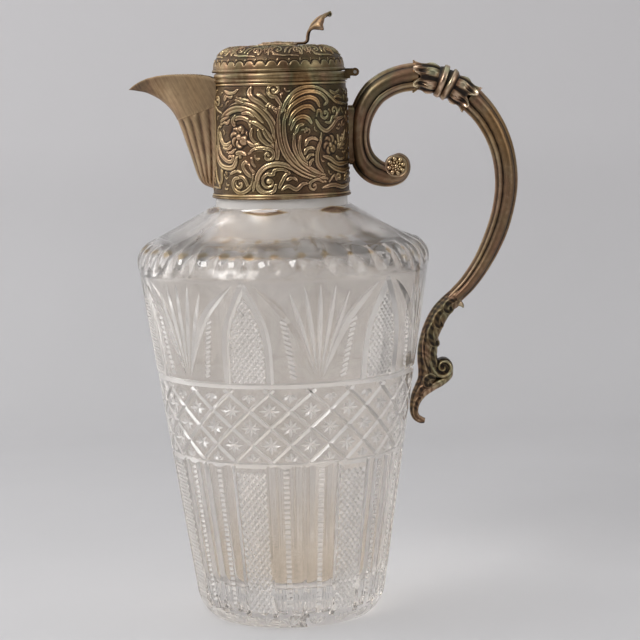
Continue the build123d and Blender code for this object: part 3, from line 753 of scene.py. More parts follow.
# ---------------------------------------------------------------- chased relief
class Sheet:
    """A flat sheet of silver on which relief is drawn, before it is wrapped round a piece."""

    def __init__(self, left, right, low, high, pitch=0.14, boldness=1.0):
        self.left, self.low, self.boldness = left, low, boldness
        self.columns = int((right - left) / pitch) + 1
        self.rows = int((high - low) / pitch) + 1
        self.across = np.linspace(left, right, self.columns)
        self.up = np.linspace(low, high, self.rows)
        self.height = np.zeros((self.rows, self.columns))
        self.touched = np.zeros((self.rows, self.columns))

    def near(self, path, widths, margin):
        """The part of the sheet round a path, and how many half widths each place is from it."""
        path, widths = np.array(path, float), np.array(widths, float)
        reach = widths.max() * margin
        (left, low), (right, high) = path.min(0) - reach, path.max(0) + reach
        columns = slice(*np.searchsorted(self.across, (left, right)))
        rows = slice(*np.searchsorted(self.up, (low, high)))
        x, y = np.meshgrid(self.across[columns], self.up[rows])
        away = np.full(x.shape, 99.0)
        for k in range(len(path) - 1):
            (ax, ay), (bx, by) = path[k], path[k + 1]
            dx, dy = bx - ax, by - ay
            t = np.clip(((x - ax) * dx + (y - ay) * dy) / (dx * dx + dy * dy + 1e-9), 0, 1)
            wide = widths[k] + t * (widths[k + 1] - widths[k])
            away = np.minimum(away, np.hypot(x - ax - t * dx, y - ay - t * dy) / wide)
        return (rows, columns), away

    def band(self, points, start, end, rise=0.6, groove=0.45, per_span=7):
        """A raised band that tapers from one width to another, hollowed along its middle."""
        path = smooth_path(points, per_span)
        run = np.linspace(0, 1, len(path))
        taper = np.clip(np.minimum(run, 1 - run) / 0.22, 0, 1) ** 0.6 * 0.55 + 0.45
        part, away = self.near(path, (start + (end - start) * run) / 2 * self.boldness * taper, 1.9)
        crest = rise * np.sqrt(np.clip(1 - away**4, 0, 1)) - rise * groove * bell(away, 0, 0.33)
        here, edge = self.height[part], bell(away, 1.25, 0.28)
        lowered = np.minimum(here, here * (1 - 0.8 * edge) - 0.22 * edge)
        self.height[part] = np.where(away < 1, np.maximum(crest, 0.12 * rise), lowered)
        self.touched[part] = np.maximum(self.touched[part], away < 1.5)

    def ridge(self, points, start, end, rise=0.55, per_span=7):
        """A raised band without the hollow."""
        self.band(points, start, end, rise, 0.0, per_span)

    def line(self, points, width=0.5, depth=0.3, per_span=6):
        """A chased line, deepest in its middle."""
        path = smooth_path(points, per_span)
        part, away = self.near(path, np.linspace(width / 2, width / 3, len(path)), 1.6)
        self.height[part] -= depth * np.clip(1 - away**2, 0, 1)

    def curl(self, centre, radius, first, turns, width, rise=0.6, hand=1, lead=()):
        """A scroll: its lead runs into a spiral that winds in to a small eye."""
        count = max(5, int(abs(turns) * 9))
        spiral = []
        for k in range(count + 1):
            share = k / count
            angle = radians(first) + hand * 2 * pi * turns * share
            reach = radius * (1 - share) ** 0.8 + 0.28 * width
            spiral.append((centre[0] + reach * cos(angle), centre[1] + reach * sin(angle)))
        self.band(list(lead) + spiral, width, width * 0.35, rise, per_span=4)
        self.knob(centre, width * 0.55, rise)

    def knob(self, centre, radius, rise=0.6):
        """A round dome."""
        part, away = self.near([centre, (centre[0] + 0.01, centre[1])], [radius, radius], 1.8)
        dome = rise * np.sqrt(np.clip(1 - away**2, 0, 1))
        here = self.height[part]
        self.height[part] = np.where(away < 1, np.maximum(dome, here * 0.3),
                                     here - 0.18 * bell(away, 1.2, 0.25))

    def flower(self, centre, radius, petals, rise=0.65, turn=0.0):
        """Round petals about a domed eye."""
        for k in range(petals):
            angle = radians(turn) + 2 * pi * k / petals
            petal = [(centre[0] + reach * radius * cos(angle),
                      centre[1] + reach * radius * sin(angle)) for reach in (0.32, 0.72)]
            self.band(petal, radius * 0.30, radius * 0.62, rise * 0.8, 0.3, 3)
        self.knob(centre, radius * 0.27, rise)

    def leaf(self, spine, lobes, length, width, rise=0.55, back=0.5):
        """A spine with lobes that spring from both its sides, as on an acanthus."""
        path = smooth_path(spine, 8)
        for side in (1, -1):
            for k in range(lobes):
                place = int((0.12 + 0.8 * k / lobes) * (len(path) - 2))
                here = path[place]
                ahead = path[place + 1] - here
                ahead = ahead / (np.linalg.norm(ahead) + 1e-9)
                out = side * np.array((-ahead[1], ahead[0]))
                reach = length * (1 - 0.55 * k / lobes)
                self.band([here, here + reach * (0.55 * out + back * ahead),
                           here + reach * (1.0 * out + (back + 0.75) * ahead * 0.8)],
                          width, width * 0.45, rise, 0.4, 4)
        self.band(spine, width, width * 0.4, rise * 1.05, 0.4)

    def fill(self, seed, tries=2600, clear=0.55):
        """Small curling leaves wherever the ornament leaves room."""
        pick = np.random.default_rng(seed)
        for _ in range(tries):
            x = pick.uniform(self.left + 2, self.across[-1] - 2)
            y = pick.uniform(self.low + 4, self.up[-1] - 4)
            way = 2.2 * sin(0.19 * x + 0.6) + 1.9 * cos(0.16 * y) + pick.uniform(-0.5, 0.5)
            length, bend = pick.uniform(2.0, 3.6), pick.choice((-1, 1)) * pick.uniform(0.5, 1.1)
            spots = [(x, y)]
            for turn in (way, way + bend, way + 1.8 * bend):
                x, y = spots[-1]
                spots.append((x + length / 3 * cos(turn), y + length / 3 * sin(turn)))
            sides = ((clear, 0), (-clear, 0), (0, clear), (0, -clear))
            free = all(self.sample(self.touched, np.array(a + da), np.array(b + db)) < 0.02
                       for a, b in spots for da, db in sides)
            if free and all(self.low + 3.4 < b < self.up[-1] - 3.4 for a, b in spots):
                self.band(spots, 1.0 / self.boldness, 0.55 / self.boldness, 0.42, 0.35, 4)

    def ground(self, seed, depth=0.10, pitch=0.75):
        """Matted ground between the ornament: close punch marks."""
        marks = np.random.default_rng(seed)
        x, y = np.meshgrid(self.across, self.up)
        shift = marks.uniform(-0.16, 0.16, (2, 400))
        row = np.floor(y / pitch)
        column = np.floor((x + (row % 2) * pitch / 2) / pitch)
        pick = ((row * 37 + column * 11) % 400).astype(int)
        dx = x + (row % 2) * pitch / 2 - (column + 0.5) * pitch + shift[0][pick]
        dy = y - (row + 0.5) * pitch + shift[1][pick]
        dots = np.clip(1 - (dx**2 + dy**2) / (0.30 * pitch) ** 2, 0, 1)
        self.height -= depth * dots * (1 - self.touched)

    def blurred(self, field, reach):
        """A field smoothed over about the reach, in sheet steps."""
        kernel = bell(np.linspace(-2, 2, 2 * reach + 1), 0, 1)
        kernel /= kernel.sum()
        padded = np.pad(field, reach, mode="edge")
        for axis in (0, 1):
            padded = np.apply_along_axis(lambda v: np.convolve(v, kernel, "same"), axis, padded)
        return padded[reach:-reach, reach:-reach]

    def finish(self):
        """Soften the drawing and find how exposed each place is: 0 in hollows, 1 on crests."""
        self.height = self.blurred(self.height, 1)
        wide = self.blurred(self.height, 6)
        self.exposed = np.clip(0.26 + 1.5 * (self.height - wide) + 0.42 * self.height / 0.6, 0, 1)
        return self

    def sample(self, field, x, y):
        """The field's value between the sheet's points."""
        column = np.clip((x - self.across[0]) / (self.across[1] - self.across[0]),
                         0, self.columns - 1.001)
        row = np.clip((y - self.up[0]) / (self.up[1] - self.up[0]), 0, self.rows - 1.001)
        c, r = column.astype(int), row.astype(int)
        fc, fr = column - c, row - r
        return ((field[r, c] * (1 - fc) + field[r, c + 1] * fc) * (1 - fr)
                + (field[r + 1, c] * (1 - fc) + field[r + 1, c + 1] * fc) * fr)


def collar_sheet():
    """Half of the collar's chasing, from the spout's side (left) to the handle's side (right)."""
    s = Sheet(-49.5, 49.5, 191.5, 244.5, boldness=1.6)
    # outer stems of the wreath and the leaf above it
    s.band([(-20, 237.2), (-14, 235.6), (-8, 232.6), (-4, 228.6), (-1.2, 222), (-0.8, 214),
            (-1.2, 209.5)], 1.0, 1.6)
    s.band([(-28, 229.6), (-25, 232.6), (-19, 234.6), (-12, 233.6), (-6.5, 229.6), (-3.2, 224.5),
            (-2.2, 218)], 0.8, 1.2)
    s.band([(-31.6, 224.5), (-28, 229.2), (-22, 232.0), (-16, 232.2), (-11, 230.2), (-7, 226.2)],
           2.2, 1.2)
    s.band([(-33.2, 224), (-33.9, 218), (-32.3, 213), (-29.2, 210.4), (-26, 209.0), (-23.4, 209.4),
            (-22.9, 211.0), (-24.6, 211.6), (-25.8, 210.6)], 1.3, 1.0)
    s.band([(-35.5, 216), (-34.8, 210.5), (-32, 207.6), (-28, 206.3), (-23.5, 206.4),
            (-21.4, 208.6), (-20.6, 211.5)], 1.6, 1.3)
    s.band([(-31.8, 222), (-31, 218.6), (-28.4, 216.4), (-25.2, 216.9), (-22.4, 219)], 1.6, 0.9)
    s.band([(-31.4, 225.4), (-28.6, 226.4), (-26, 226.0), (-24.3, 227.6)], 1.0, 0.8)
    s.band([(-31.0, 226.8), (-28, 228.0), (-24.8, 228.9)], 1.0, 0.6)
    s.band([(-22.8, 217.2), (-25, 215.0), (-28, 214.6), (-29.6, 215.4)], 1.0, 0.7)
    s.band([(-21.5, 214.5), (-24, 212.9), (-27.0, 213.2)], 0.9, 0.7)
    s.flower((-19.2, 219.8), 5.0, 7, 0.75, 20)
    s.knob((-18.2, 223.6), 1.25, 0.7)
    s.band([(-23.5, 226.5), (-21, 227.9), (-17.5, 228.4), (-14, 227.0), (-13, 224.0)], 1.5, 0.9)
    s.band([(-21.5, 225.0), (-22.4, 227.0), (-21.2, 229.3)], 1.6, 0.8)
    s.band([(-17.2, 230.2), (-14.2, 230.4), (-11.2, 228.8)], 1.1, 0.7)
    # veins and side leaves between wreath and stems
    s.band([(-13.2, 226.8), (-9.6, 225.4), (-6.2, 222.6), (-3.6, 218.6), (-2.4, 213.5)], 1.3, 0.9)
    s.band([(-9.4, 222.8), (-8.4, 219.4), (-5.8, 216.8), (-3.0, 214.9)], 1.3, 0.8)
    s.band([(-7.2, 223.2), (-5.6, 219.8), (-3.2, 217.2)], 0.9, 0.6)
    s.band([(-12.4, 223.5), (-12.9, 220.2), (-11.2, 217.6), (-8.6, 216.8)], 1.0, 0.7)
    s.band([(-14.6, 217.8), (-12.4, 216.2), (-9.6, 216.4), (-7.4, 215.4)], 1.1, 0.7)
    s.curl((-5.0, 211.7), 2.6, 100, 1.25, 1.15, hand=-1,
           lead=[(-14.2, 212.4), (-11.8, 214.5), (-8.4, 215.0)])
    s.band([(-20.8, 212.6), (-18.2, 212.9), (-15.6, 212.0)], 1.5, 0.9)
    s.knob((-18.8, 211.2), 1.0, 0.5)
    s.band([(-12.9, 210.6), (-12.4, 208.2), (-10.8, 206.6)], 1.1, 0.6)
    s.band([(-13.4, 202.2), (-15.8, 204.2), (-17.4, 207.0), (-16.2, 208.9), (-14.6, 207.8)],
           1.3, 0.8)
    s.band([(-11.2, 203.8), (-13.2, 205.6), (-14.2, 207.8)], 1.0, 0.6)
    s.curl((-19.4, 199.2), 3.2, 20, 1.15, 1.25, hand=1,
           lead=[(-11.6, 203.6), (-12.0, 200.2), (-14.2, 197.0)])
    s.band([(-12.2, 203.4), (-12.9, 199.0), (-15.6, 196.2), (-19.2, 195.1), (-22.4, 196.6),
            (-23.3, 199.4), (-22.0, 201.5), (-19.6, 201.7)], 1.0, 1.2)
    s.knob((-28.4, 203.2), 1.5, 0.35)
    s.line([(-29.4, 204.0), (-27.4, 202.4)], 1.1, 0.5)
    s.band([(-24.6, 203.6), (-21.2, 204.8), (-18.2, 204.2)], 1.0, 0.6)
    # the great spiral at the foot
    s.band([(22.0, 199.4), (15.0, 201.2), (9.6, 203.4), (5.0, 206.2), (-0.5, 207.8),
            (-5.6, 206.9), (-9.2, 204.0), (-10.6, 200.0), (-9.4, 196.6), (-6.2, 195.0),
            (-3.0, 196.0), (-1.9, 198.8)], 1.5, 1.4, 0.75)
    s.curl((-5.0, 200.0), 3.4, 60, 1.2, 1.2, hand=1,
           lead=[(4.4, 203.6), (1.4, 205.4), (-2.4, 205.0)], rise=0.7)
    s.knob((-5.0, 200.2), 1.35, 0.8)
    s.band([(-12.6, 196.0), (-12.0, 198.4), (-11.4, 200.6)], 1.0, 0.6)
    # leaf and curl above the stems
    s.band([(-12.6, 241.4), (-13.2, 239.0), (-11.4, 236.6), (-8.2, 234.8), (-5.4, 232.2)], 1.8, 1.0)
    s.band([(-9.6, 238.6), (-7.0, 237.4), (-4.6, 234.6)], 1.1, 0.7)
    s.curl((-1.7, 240.4), 2.7, 250, 1.35, 1.25, hand=-1,
           lead=[(3.2, 231.0), (0.4, 235.0), (-1.0, 237.2)], rise=0.75)
    for k in range(4):
        s.band([(-5.4 + 1.3 * k, 233.2 - 0.4 * k), (-3.6 + 1.2 * k, 234.2 - 0.9 * k),
                (-2.4 + 0.9 * k, 231.8 - 1.4 * k)], 0.9, 0.5)
    s.band([(-27.6, 236.2), (-25.8, 238.4), (-23.2, 237.6), (-22.4, 239.9)], 1.5, 0.8)
    s.band([(-28.0, 240.4), (-25.0, 239.4), (-21.8, 239.4), (-19.6, 240.8)], 1.1, 0.8)
    s.band([(-20.6, 236.2), (-16.0, 234.9)], 0.9, 0.5)
    s.curl((-33.5, 236.4), 2.3, 200, 1.1, 1.1, hand=1,
           lead=[(-30.0, 230.5), (-33.4, 231.6), (-36.0, 233.6)])
    # long stems that sweep under the plume
    s.band([(0.8, 233), (-0.1, 227), (0.2, 220), (1.6, 214), (4.6, 209.2), (9.6, 205.4),
            (15.4, 202.6), (23, 200.6)], 1.1, 1.7)
    s.band([(3.2, 230), (2.2, 225), (2.6, 218.5), (4.4, 212.8), (8.2, 208), (13, 204.8),
            (19, 202.2)], 1.1, 1.4)
    s.band([(6.8, 221.0), (6.6, 215.4), (8.4, 210.8), (11.6, 207.2), (16.2, 204.2), (22, 202.2)],
           1.2, 1.2)
    s.band([(9.6, 219.8), (9.0, 214.8), (10.2, 210.8), (12.8, 208)], 1.0, 0.8)
    # the plume: arches one inside another
    s.band([(1.4, 230.5), (4.2, 236.0), (9.0, 240.2), (15, 241.4), (21, 240.0), (26.2, 236.8),
            (31, 234.2), (40, 233.2)], 1.2, 1.0, 0.75)
    s.band([(4.6, 233.8), (8.0, 237.6), (13, 239.4), (18.4, 239.0), (22.4, 236.8), (23.6, 234.6),
            (22.0, 233.2)], 1.1, 1.2, 0.7)
    s.band([(3.4, 228.0), (5.4, 232.6), (9.6, 235.6), (14.2, 236.8), (17.8, 235.4), (19.3, 232.6)],
           1.0, 1.3, 0.7)
    s.band([(4.6, 225.0), (6.6, 229.6), (10.4, 232.3), (14.2, 232.8), (16.8, 230.8)],
           1.0, 1.2, 0.65)
    s.band([(5.4, 222.8), (7.2, 226.8), (10.4, 228.4), (13.4, 227.6), (15.2, 225.2)],
           1.0, 1.2, 0.65)
    s.band([(7.4, 221.2), (9.0, 224.4), (11.4, 225.0)], 1.0, 0.8)
    s.knob((12.4, 222.6), 1.1, 0.5)
    s.line([(9, 239.0), (14, 240.3), (20, 239.2)], 0.4, 0.2)
    # leaf below the plume
    s.band([(11.8, 215.6), (13.0, 218.0), (15.6, 218.8), (18.6, 217.6)], 1.1, 0.9, 0.7)
    s.band([(11.4, 211.8), (12.2, 213.8), (14.6, 214.6), (17.0, 213.6)], 1.1, 0.8, 0.7)
    s.band([(12.2, 209.4), (14.0, 211.4), (16.4, 211.2)], 1.0, 0.7)
    s.band([(13.6, 206.6), (14.6, 208.8), (16.6, 209.4)], 1.0, 0.7)
    s.band([(20.6, 203.8), (17.8, 207.4), (17.6, 212.0), (19.4, 217.0), (20.0, 221.0)], 1.5, 0.9)
    # right-hand flower, its frame and the scrolls beside the handle
    s.flower((25.4, 215.6), 4.4, 6, 0.6, 12)
    s.band([(21.0, 210.6), (25.4, 209.4), (29.6, 207.0), (35.4, 206.8), (42, 207.2)], 1.3, 1.1)
    s.band([(23.6, 207.2), (28.6, 204.8), (35.2, 203.6), (42, 204.2)], 1.3, 1.4)
    s.band([(29.4, 210.2), (32.4, 208.8), (37, 209.4)], 0.9, 0.6)
    s.band([(17.2, 226.8), (19.4, 223.6), (22.8, 221.8), (26.4, 223.4), (30.4, 226.6), (36, 227.6)],
           1.2, 1.2)
    s.curl((22.4, 229.4), 2.2, 160, 1.1, 1.1, hand=1, lead=[(17.6, 228.6), (18.6, 231.0)])
    s.curl((28.4, 230.3), 2.7, 240, 1.1, 1.1, hand=1, lead=[(22.6, 225.6), (25.4, 225.4)])
    s.band([(26.2, 239.4), (29.4, 238.2), (33.2, 239.6)], 1.2, 0.7)
    s.band([(28.8, 236.6), (32.4, 237.0), (35.4, 236.0)], 1.0, 0.7)
    s.leaf([(31.0, 214.0), (35.0, 217.0), (38.0, 222.0)], 3, 3.0, 1.2)
    s.band([(30.6, 219.6), (31.4, 217.0), (30.6, 214.2)], 1.2, 0.7)
    # running scrolls along the foot
    s.band([(-0.6, 197.2), (1.0, 200.4), (2.6, 203.0), (4.4, 203.4)], 1.1, 0.7)
    s.band([(0.8, 196.6), (3.6, 198.0), (7.2, 196.4), (10.4, 198.8), (13.0, 198.6)], 1.1, 0.9)
    s.curl((15.4, 197.6), 1.9, 120, 1.1, 1.0, hand=1, lead=[(20.6, 199.0), (17.6, 200.6)])
    s.band([(3.0, 200.6), (5.6, 201.6), (7.8, 200.2)], 1.1, 0.6)
    s.band([(20, 196.6), (27, 197.6), (34, 196.4), (42, 197.4)], 1.2, 1.2)
    s.curl((31.0, 200.6), 1.8, 200, 1.0, 1.0, hand=-1, lead=[(24.0, 199.0), (27.4, 201.8)])
    s.leaf([(36, 199.6), (40, 201.2), (44, 200.4)], 3, 1.8, 0.9)
    # plain strip where the spout is soldered on, and the strap beside it
    s.ridge([(-38.0, 243), (-36.6, 232), (-36.8, 220), (-37.6, 208), (-36.0, 201.2),
             (-33.4, 198.2), (-34.0, 197.0), (-41.0, 197.4)], 1.0, 0.8, 0.5)
    s.band([(-31.6, 205.4), (-31.2, 201.6), (-32.8, 198.4)], 1.3, 0.9)
    s.fill(11)
    s.ground(3)
    # plain edges at the collar's foot and head
    s.ridge([(-49.5, 193.7), (49.5, 193.7)], 0.9, 0.9, 0.45, 2)
    s.ridge([(-49.5, 243.0), (49.5, 243.0)], 0.9, 0.9, 0.45, 2)
    return s.finish()


# ---------------------------------------------------------------- collar and lid
collar_radius, collar_top, window_bottom = 31.2, 243.8, 214.0
collar_wall, matt_depth = 1.0, 0.25
window_half_turn = 19
lid_bottom, lid_top = 248.3, 260.0
lid_rim_radius, lid_rim_height = 30.2, 1.4
dome_edge = (lid_rim_radius - 0.4, lid_bottom + lid_rim_height)
lid_mean_radius, lid_repeats = 28.0, 9
lid_unit = 2 * pi * lid_mean_radius / lid_repeats


def round_rows(radius, turns, height):
    """Rows of points round the jug's axis."""
    return np.stack([radius * np.cos(turns), radius * np.sin(turns), height], -1)


def relief_shell(name, outer, inner_side, turns, faces, exposed):
    """One mesh from the rows of the relief and the plain rows behind it."""
    inner = [(r * cos(t), r * sin(t), z) for r, z in inner_side for t in turns]
    return mesh_object(name, np.concatenate([outer.reshape(-1, 3), inner]), faces,
                       np.concatenate([exposed.ravel(), np.full(len(inner), 0.5)]))


def collar_sleeve():
    """The chased collar, open where the spout leads out of it."""
    sheet = collar_sheet()
    columns = 620
    heights = np.linspace(collar_bottom, collar_top, 142)
    turns = (np.arange(columns) + 0.5) * 2 * pi / columns - pi
    across = (pi / 2 - np.abs(turns)) * collar_radius
    head = arc_points((collar_radius, 238.0), (collar_radius - 0.63, 241.0),
                      (collar_radius - 0.7, collar_top), 8)
    skin_radii, skin_heights = zip((collar_radius, collar_bottom), *head)
    skin = np.interp(heights, skin_heights, skin_radii)
    x, z = np.meshgrid(across, heights)
    radius = skin[:, None] - matt_depth + sheet.sample(sheet.height, x, z)
    window_row = int(np.searchsorted(heights, window_bottom))
    inner_radius = collar_radius - collar_wall
    inner_side = [(inner_radius, collar_bottom), (inner_radius, heights[window_row]),
                  (inner_radius - 0.7, collar_top)]
    top = len(heights) - 1
    base = (top + 1) * columns
    half = int(radians(window_half_turn) / (2 * pi) * columns)
    in_window = [c < half or c >= columns - half - 1 for c in range(columns)]
    faces = grid_faces(top + 1, columns, skip=lambda r, c: r >= window_row and in_window[c])
    faces += grid_faces(3, columns, base, skip=lambda r, c: r >= 1 and in_window[c])
    for c in range(columns):
        n = (c + 1) % columns
        faces.append((c, n, base + n, base + c))
        row, row_behind = (window_row, 1) if in_window[c] else (top, 2)
        rim, behind = row * columns, base + row_behind * columns
        faces.append((rim + c, rim + n, behind + n, behind + c))
    for c in (half, columns - half - 1):
        upright = [r * columns + c for r in range(window_row, top + 1)]
        faces.append((*upright, base + 2 * columns + c, base + columns + c))
    return relief_shell("collar_sleeve_chased", round_rows(radius, turns, z), inner_side, turns,
                        faces, sheet.sample(sheet.exposed, x, z))


def lid_sheet():
    """One repeat of the lid's chasing: scallops at the rim, scrolls and leaves above."""
    s = Sheet(-lid_unit / 2, lid_unit / 2, 0.0, 24.0)
    scallops = 4
    step = lid_unit / scallops
    plain = (s.up[:, None] < 1.6 + 2.0 * np.abs(np.sin(pi * s.across[None, :] / step)) ** 0.55)
    s.height[plain] = 0.30
    s.touched[plain] = 1.0
    for k in range(-1, scallops + 1):
        left = k * step - lid_unit / 2 + (lid_unit / 2) % step
        arch = [(left + step * share, 1.75 + 2.0 * sin(pi * share) ** 0.55)
                for share in np.linspace(0, 1, 7)]
        s.line(arch, 0.75, 0.5, 4)
        s.band([(left + 0.06 * step, 4.6), (left, 3.4)], 0.7, 0.5, 0.35, 0.0, 3)
    s.curl((-4.6, 9.6), 2.7, 250, 1.3, 1.2, hand=-1,
           lead=[(4.6, 5.6), (0.4, 6.0), (-3.0, 6.0), (-6.4, 6.8)])
    s.curl((4.7, 9.0), 2.3, -60, 1.2, 1.1, hand=1, lead=[(-2.2, 13.8), (1.0, 13.2), (4.2, 12.4)])
    s.band([(-1.4, 7.6), (-0.4, 10.2), (1.6, 11.6)], 1.3, 0.6)
    s.band([(0.6, 7.2), (1.4, 9.2), (3.0, 10.6)], 1.0, 0.5)
    s.leaf([(-8.8, 6.6), (-8.9, 10.0), (-7.4, 13.2), (-4.0, 15.2)], 3, 2.4, 1.0)
    s.leaf([(8.6, 13.8), (8.4, 10.6), (9.3, 7.2)], 3, 2.0, 0.9)
    s.band([(-6.0, 16.6), (-1.5, 15.4), (3.4, 15.6), (8.0, 17.0)], 1.1, 0.8)
    s.ground(5)
    s.ridge([(-lid_unit / 2 - 2, 17.6), (lid_unit / 2 + 2, 17.6)], 0.6, 0.6, 0.3, 2)
    for k in range(-1, 6):
        left = -lid_unit / 2 + k * lid_unit / 5
        s.line([(left, 18.3), (left + lid_unit / 10, 19.4), (left + lid_unit / 5, 18.3)], 0.5, 0.2)
    return s.finish()


def lid_dome():
    """The chased lid: a shallow dome with a nearly flat top."""
    sheet = lid_sheet()
    chased_reach = 21
    top_edge = (17.5, lid_top - 0.6)
    side = arc_points(dome_edge, (26.6, 257.2), top_edge, 60)
    side += [(top_edge[0] - 17.3 * k / 16, top_edge[1] + 0.6 * k / 16) for k in range(1, 17)]
    side = np.array(side)
    along = np.concatenate([[0], np.cumsum(np.hypot(*np.diff(side, axis=0).T))])
    fine = np.concatenate([np.arange(0, chased_reach, 0.27),
                           np.linspace(chased_reach, along[-1], 16)[1:]])
    radius = np.interp(fine, along, side[:, 0])
    height = np.interp(fine, along, side[:, 1])
    lean_r, lean_z = np.gradient(radius, fine), np.gradient(height, fine)
    size = np.hypot(lean_r, lean_z)
    columns = 560
    turns = np.arange(columns) * 2 * pi / columns
    across = (turns * lid_mean_radius + lid_unit / 2) % lid_unit - lid_unit / 2
    x, v = np.meshgrid(across, fine)
    rise = sheet.sample(sheet.height, x, v) * np.clip((chased_reach - v) / 2, 0, 1) * 0.8
    exposed = np.where(v < chased_reach, sheet.sample(sheet.exposed, x, v), 0.55)
    sunk = 0.3 * np.clip((chased_reach - v) / 3, 0, 1)
    r = radius[:, None] - sunk + rise * (lean_z / size)[:, None]
    z = height[:, None] + rise * (-lean_r / size)[:, None]
    inner_side = [(dome_edge[0] - 0.9, dome_edge[1]), (25.9, 256.2), (17.2, 258.4), (0.2, 259.0)]
    rows = len(fine)
    base = rows * columns
    faces = grid_faces(rows, columns) + grid_faces(4, columns, base)
    faces += [(c, (c + 1) % columns, base + (c + 1) % columns, base + c) for c in range(columns)]
    for first in (base - columns, base + 3 * columns):
        faces.append(tuple(range(first, first + columns)))
    return relief_shell("lid_dome_chased", round_rows(r, turns, z), inner_side, turns, faces,
                        exposed)


# ---------------------------------------------------------------- swept and turned silver
def off_path(path, lift, across):
    """Points lifted off a path in the handle's plane, and set across it."""
    ahead = headings(path)
    return np.stack([path[:, 0:1] - ahead[:, 1:2] * lift, across,
                     path[:, 1:2] + ahead[:, 0:1] * lift], -1)


def swept(stations, section, per_span=12, aside=0.0):
    """A bar in the handle's plane, as rows of points and how exposed they are.

    Stations are x, z, thickness, width. The section is a loop of (out, across, exposed), in whole
    thicknesses and widths.
    """
    path = np.array(smooth_path(stations, per_span))
    out, across, exposed = np.array(section).T
    points = off_path(path, out * path[:, 2:3], across * path[:, 3:4] + aside)
    return points, np.tile(exposed, (len(path), 1))


def turned(outline, around=72, ripple=None):
    """Rows of a turned shape about Z: the outline is (radius, height, exposed)."""
    turns = np.arange(around) * 2 * pi / around
    radius, height, exposed = (np.array(v)[:, None] + 0 * turns for v in zip(*outline))
    if ripple:
        radius, height = ripple(radius, height, turns)
    return round_rows(radius, turns, height), exposed


def cross_drum(centre, outline, around):
    """A turned shape laid across the handle, about a line through (x, z)."""
    points, exposed = turned(outline, around)
    x, y, z = (points[..., k] for k in range(3))
    return np.stack([x + centre[0], z, y + centre[1]], -1), exposed


def joined(name, *bars):
    """One object from closed bars, each with its ends filled."""
    points, faces, exposed = [], [], []
    for rows_of_points, bare in bars:
        first = len(points)
        rows, columns = bare.shape
        faces += grid_faces(rows, columns, first)
        for end in (first, first + (rows - 1) * columns):
            faces.append(tuple(range(end, end + columns)))
        points += rows_of_points.reshape(-1, 3).tolist()
        exposed += bare.ravel().tolist()
    return mesh_object(name, points, faces, exposed)


def gathered(name, *sources):
    """One object from several."""
    points, faces, exposed = [], [], []
    for source in sources:
        first = len(points)
        points += [tuple(point.co / MM) for point in source.data.vertices]
        faces += [tuple(first + index for index in face.vertices) for face in source.data.polygons]
        exposed += [share.value for share in source.data.attributes["exposed"].data]
        bpy.data.objects.remove(source)
    return mesh_object(name, points, faces, exposed)


def reeded_section():
    """Outer rib, wide middle reed, inner reed and inner bead, alike on both sides."""
    reeds = [((0.5, 0.0), (0.46, 0.16), (0.345, 0.245)), ((0.345, 0.245), (0.10, 0.5),
                                                          (-0.175, 0.35)),
             ((-0.175, 0.35), (-0.29, 0.385), (-0.36, 0.26)), ((-0.36, 0.26), (-0.465, 0.15),
                                                               (-0.5, 0.0))]
    steps = 9
    half = []
    for place, (start, middle, end) in enumerate(reeds):
        for k, (out, across) in enumerate(arc_points(start, middle, end, steps)[:-1]):
            share = k / (steps - 1)
            crest = [cos(share * pi / 2), sin(share * pi), sin(share * pi) * 0.8,
                     sin(share * pi / 2)][place]
            bare = (0.55, 0.34, 0.52, 0.50)[place]
            half.append((out, across, 0.08 + bare * crest**0.7))
    half.append((-0.5, 0.0, 0.58))
    return half + [(out, -across, exposed) for out, across, exposed in half[-2:0:-1]]


def round_section(count, crest=0.75, foot=0.25):
    """A round bar, most exposed on its two broad sides."""
    turns = [2 * pi * k / count for k in range(count)]
    return [(0.5 * cos(t), 0.5 * sin(t), foot + (crest - foot) * abs(sin(t))) for t in turns]


def pebble(centre, size, around=14, rings=5, crest=0.95):
    """Half an oval pebble, flat below: a petal or a bead."""
    lifts = [pi / 2 * k / rings for k in range(rings)] + [pi / 2 - 0.06]
    turns = np.arange(around) * 2 * pi / around
    rows = [np.stack([centre[0] + size[0] * cos(lift) * np.cos(turns),
                      centre[1] + size[1] * cos(lift) * np.sin(turns),
                      np.full(around, centre[2] + size[2] * sin(lift))], -1) for lift in lifts]
    exposed = [[0.1 + (crest - 0.1) * sin(lift) ** 0.6] * around for lift in lifts]
    return np.array(rows), np.array(exposed)


# ---------------------------------------------------------------- handle
handle_width = 11.5
volute_centre = (52.3, 204.5)
volute_face = 4.7
reeded = reeded_section()


